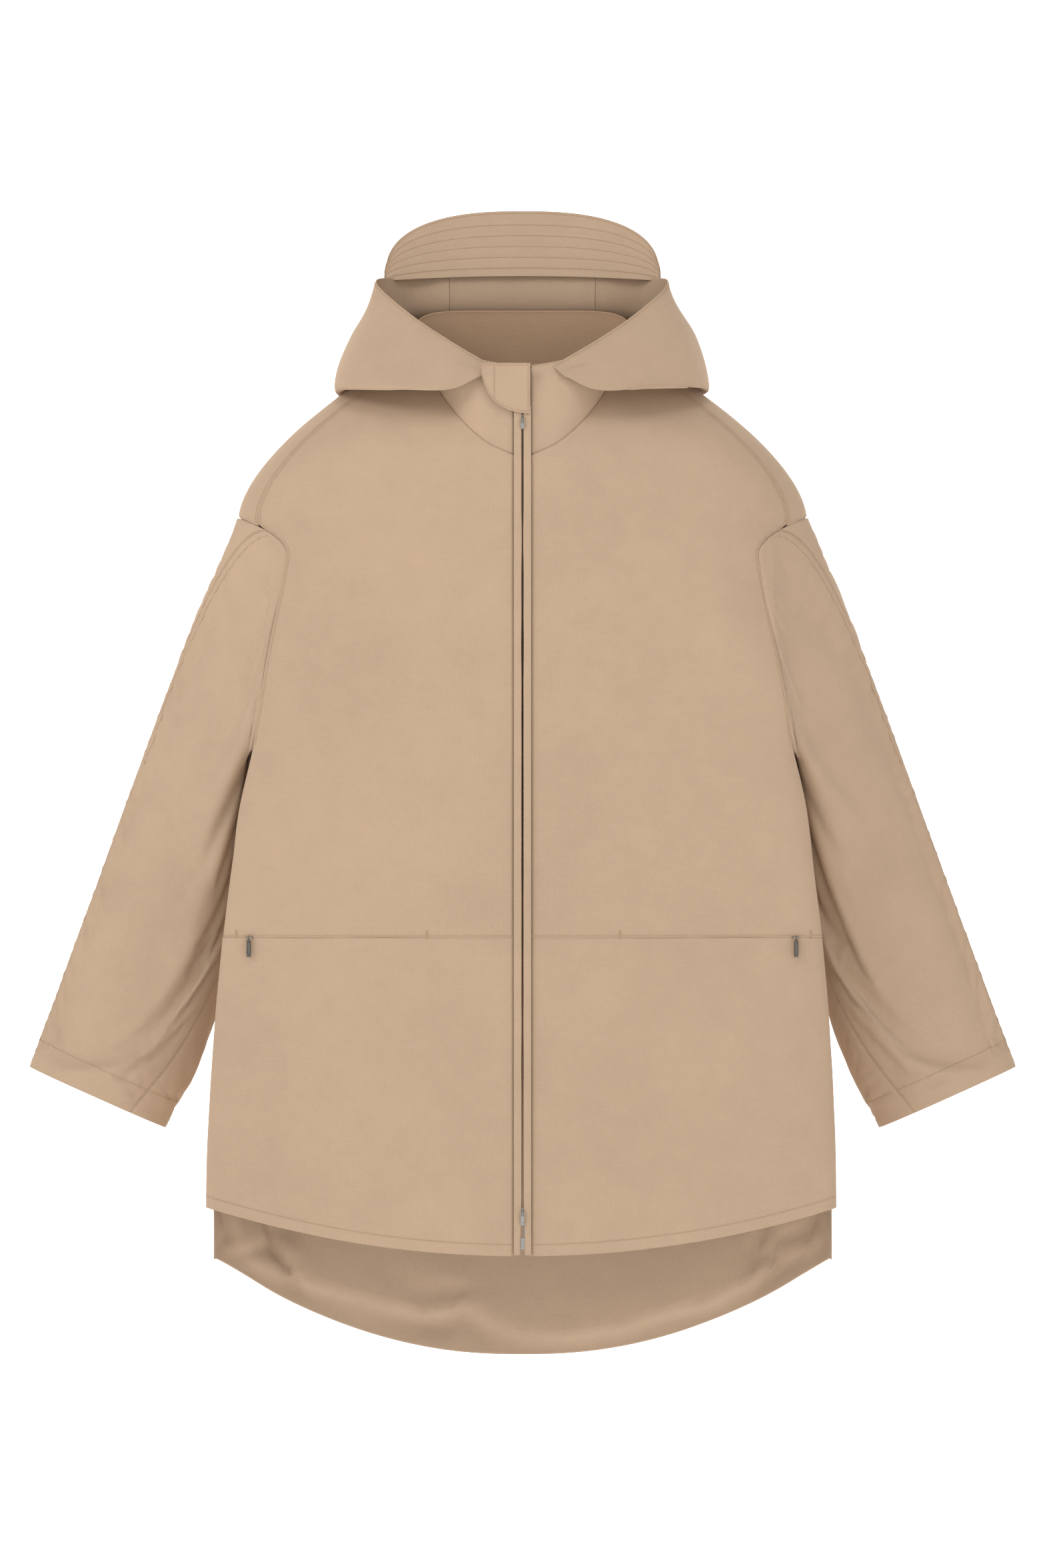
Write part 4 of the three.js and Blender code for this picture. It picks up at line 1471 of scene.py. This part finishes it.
class JACKET_OT_stitching(JacketPiece, bpy.types.Operator):
    """Topstitching along the seams, and the bar tacks"""

    bl_idname = "jacket.stitching"
    bl_label = "Stitching"

    def execute(self, context):
        look = self.looks(context)
        thread = woven("thread", look.thread, 0.1)
        size = look.stitch
        torso = Thread()
        for side, hand in SIDES:
            self.body_rows(torso, hand, size)
            self.hood_rows(torso, hand, size)
        back = SHEETS["back_panel"]
        torso.run(edge_path(back, "low", 12 * MM, 0.02, 0.98, 240), size)
        centre = SHEETS["hood_centre"]
        torso.run(edge_path(centre, "first", 3 * MM), size)
        for edge in ("low", "high"):
            torso.run(edge_path(centre, edge, 2.2 * MM), size)
        collar = SHEETS["collar_back"]
        for inset in (2 * MM, 8 * MM):
            torso.run(edge_path(collar, "high", inset, 0.04, 0.96), size)
        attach(torso.made("body_stitching", thread), "torso")

        for side, hand in SIDES:
            rows = Thread()
            front, back = SHEETS["sleeve_front_" + hand], SHEETS["sleeve_back_" + hand]
            for sheet in (front, back):
                rows.run(edge_path(sheet, "low", 30 * MM, 0.01, 0.99), size)
            rows.run(edge_path(front, "last", 2.4 * MM, 0.02, 0.98, 160), size)
            rows.run(edge_path(front, "last", 11 * MM, 0.56, 0.98, 100), size)
            rows.run(edge_path(front, "first", 2.2 * MM, 0.02, 0.98, 160), size)
            (a, up), (b, _) = front.point(0.93, 0.56), front.point(0.99, 0.56)
            rows.tack((a + b) / 2, up, (b - a).normalized(), 9 * MM, 1.8 * MM)
            bend_at_shoulder(rows.made("sleeve_stitching_" + hand, thread))

        peak = Thread()
        facing = SHEETS["peak_facing"]
        peak.run(edge_path(facing, "high", 2.4 * MM, 0.01, 0.99, 140), size)
        for k in range(5):
            level = 0.13 + 0.165 * k
            peak.run(line_path(facing, lambda t, level=level: (mix(0.06, 0.94, t), level), 140), size)
        peak.run(edge_path(SHEETS["peak_outer"], "high", 2.4 * MM, 0.01, 0.99, 140), size)
        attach(peak.made("peak_stitching", thread), "peak")

        tab = Thread()
        sheet = SHEETS["throat_tab"]
        for edge in ("high", "low", "last"):
            tab.run(edge_path(sheet, edge, 2.2 * MM, 0.04, 0.98), size)
        tab.run(line_path(sheet, lambda t: (0.27, mix(0.06, 0.94, t))), size)
        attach(tab.made("tab_stitching", thread), "throat_tab")
        return {"FINISHED"}

    def body_rows(self, torso, hand, size):
        upper, lower = SHEETS["front_upper_" + hand], SHEETS["front_lower_" + hand]
        strip = SHEETS["shoulder_" + hand]
        torso.run(edge_path(upper, "first", 2 * MM, 0.0, 0.84, 220), size)
        torso.run(edge_path(lower, "first", 2 * MM, 0.0, 1.0, 120), size)
        torso.run(edge_path(upper, "last", 3 * MM, 0.34, 0.98, 160), size)
        torso.run(edge_path(strip, "first", 3 * MM, 0.02, 0.98), size)
        torso.run(edge_path(upper, "low", 2 * MM, 0.0, 0.98, 120), size)
        torso.run(edge_path(lower, "low", 12 * MM, 0.0, 0.98, 160), size)
        for x in (100 * MM, 298 * MM):
            gone = (x - FRONT_EDGE) / (half_width(POCKET_Z) - FRONT_EDGE)
            u = 1 - max(1 - gone, 0.0) ** (1 / 1.7)
            point, up = upper.point(min(u, 0.985), 0.006)
            torso.tack(point, up, Vector((0, 0, 1)), 8 * MM, 2.0 * MM)

    def hood_rows(self, torso, hand, size):
        hood = SHEETS["hood_side_" + hand]
        torso.run(edge_path(hood, "first", 3 * MM, 0.0, 0.99, 160), size)
        torso.run(edge_path(hood, "low", 2.2 * MM), size)
        collar = SHEETS["collar_front_" + hand]
        torso.run(edge_path(collar, "high", 2.4 * MM, 0.0, 0.98), size)


STEPS = ("stage", "body", "sleeves", "hood", "peak", "tab", "front_zip", "pockets", "stitching")


class JACKET_PT_pieces(bpy.types.Panel):
    """Lists the jacket's pieces and their shared looks"""

    bl_idname = "JACKET_PT_pieces"
    bl_label = "Jacket"
    bl_space_type = "VIEW_3D"
    bl_region_type = "UI"
    bl_category = "Jacket"

    def draw(self, context):
        for field in JacketLooks.__annotations__:
            self.layout.prop(context.scene.jacket_looks, field)
        for step in STEPS:
            self.layout.operator("jacket." + step)


CLASSES = (
    JacketLooks,
    JACKET_OT_stage,
    JACKET_OT_body,
    JACKET_OT_sleeves,
    JACKET_OT_hood,
    JACKET_OT_peak,
    JACKET_OT_tab,
    JACKET_OT_front_zip,
    JACKET_OT_pockets,
    JACKET_OT_stitching,
    JACKET_PT_pieces,
)


def register():
    for cls in CLASSES:
        bpy.utils.register_class(cls)
    bpy.types.Scene.jacket_looks = bpy.props.PointerProperty(type=JacketLooks)


def unregister():
    del bpy.types.Scene.jacket_looks
    for cls in reversed(CLASSES):
        bpy.utils.unregister_class(cls)


def main():
    register()
    for step in STEPS:
        getattr(bpy.ops.jacket, step)()


if __name__ == "__main__":
    main()
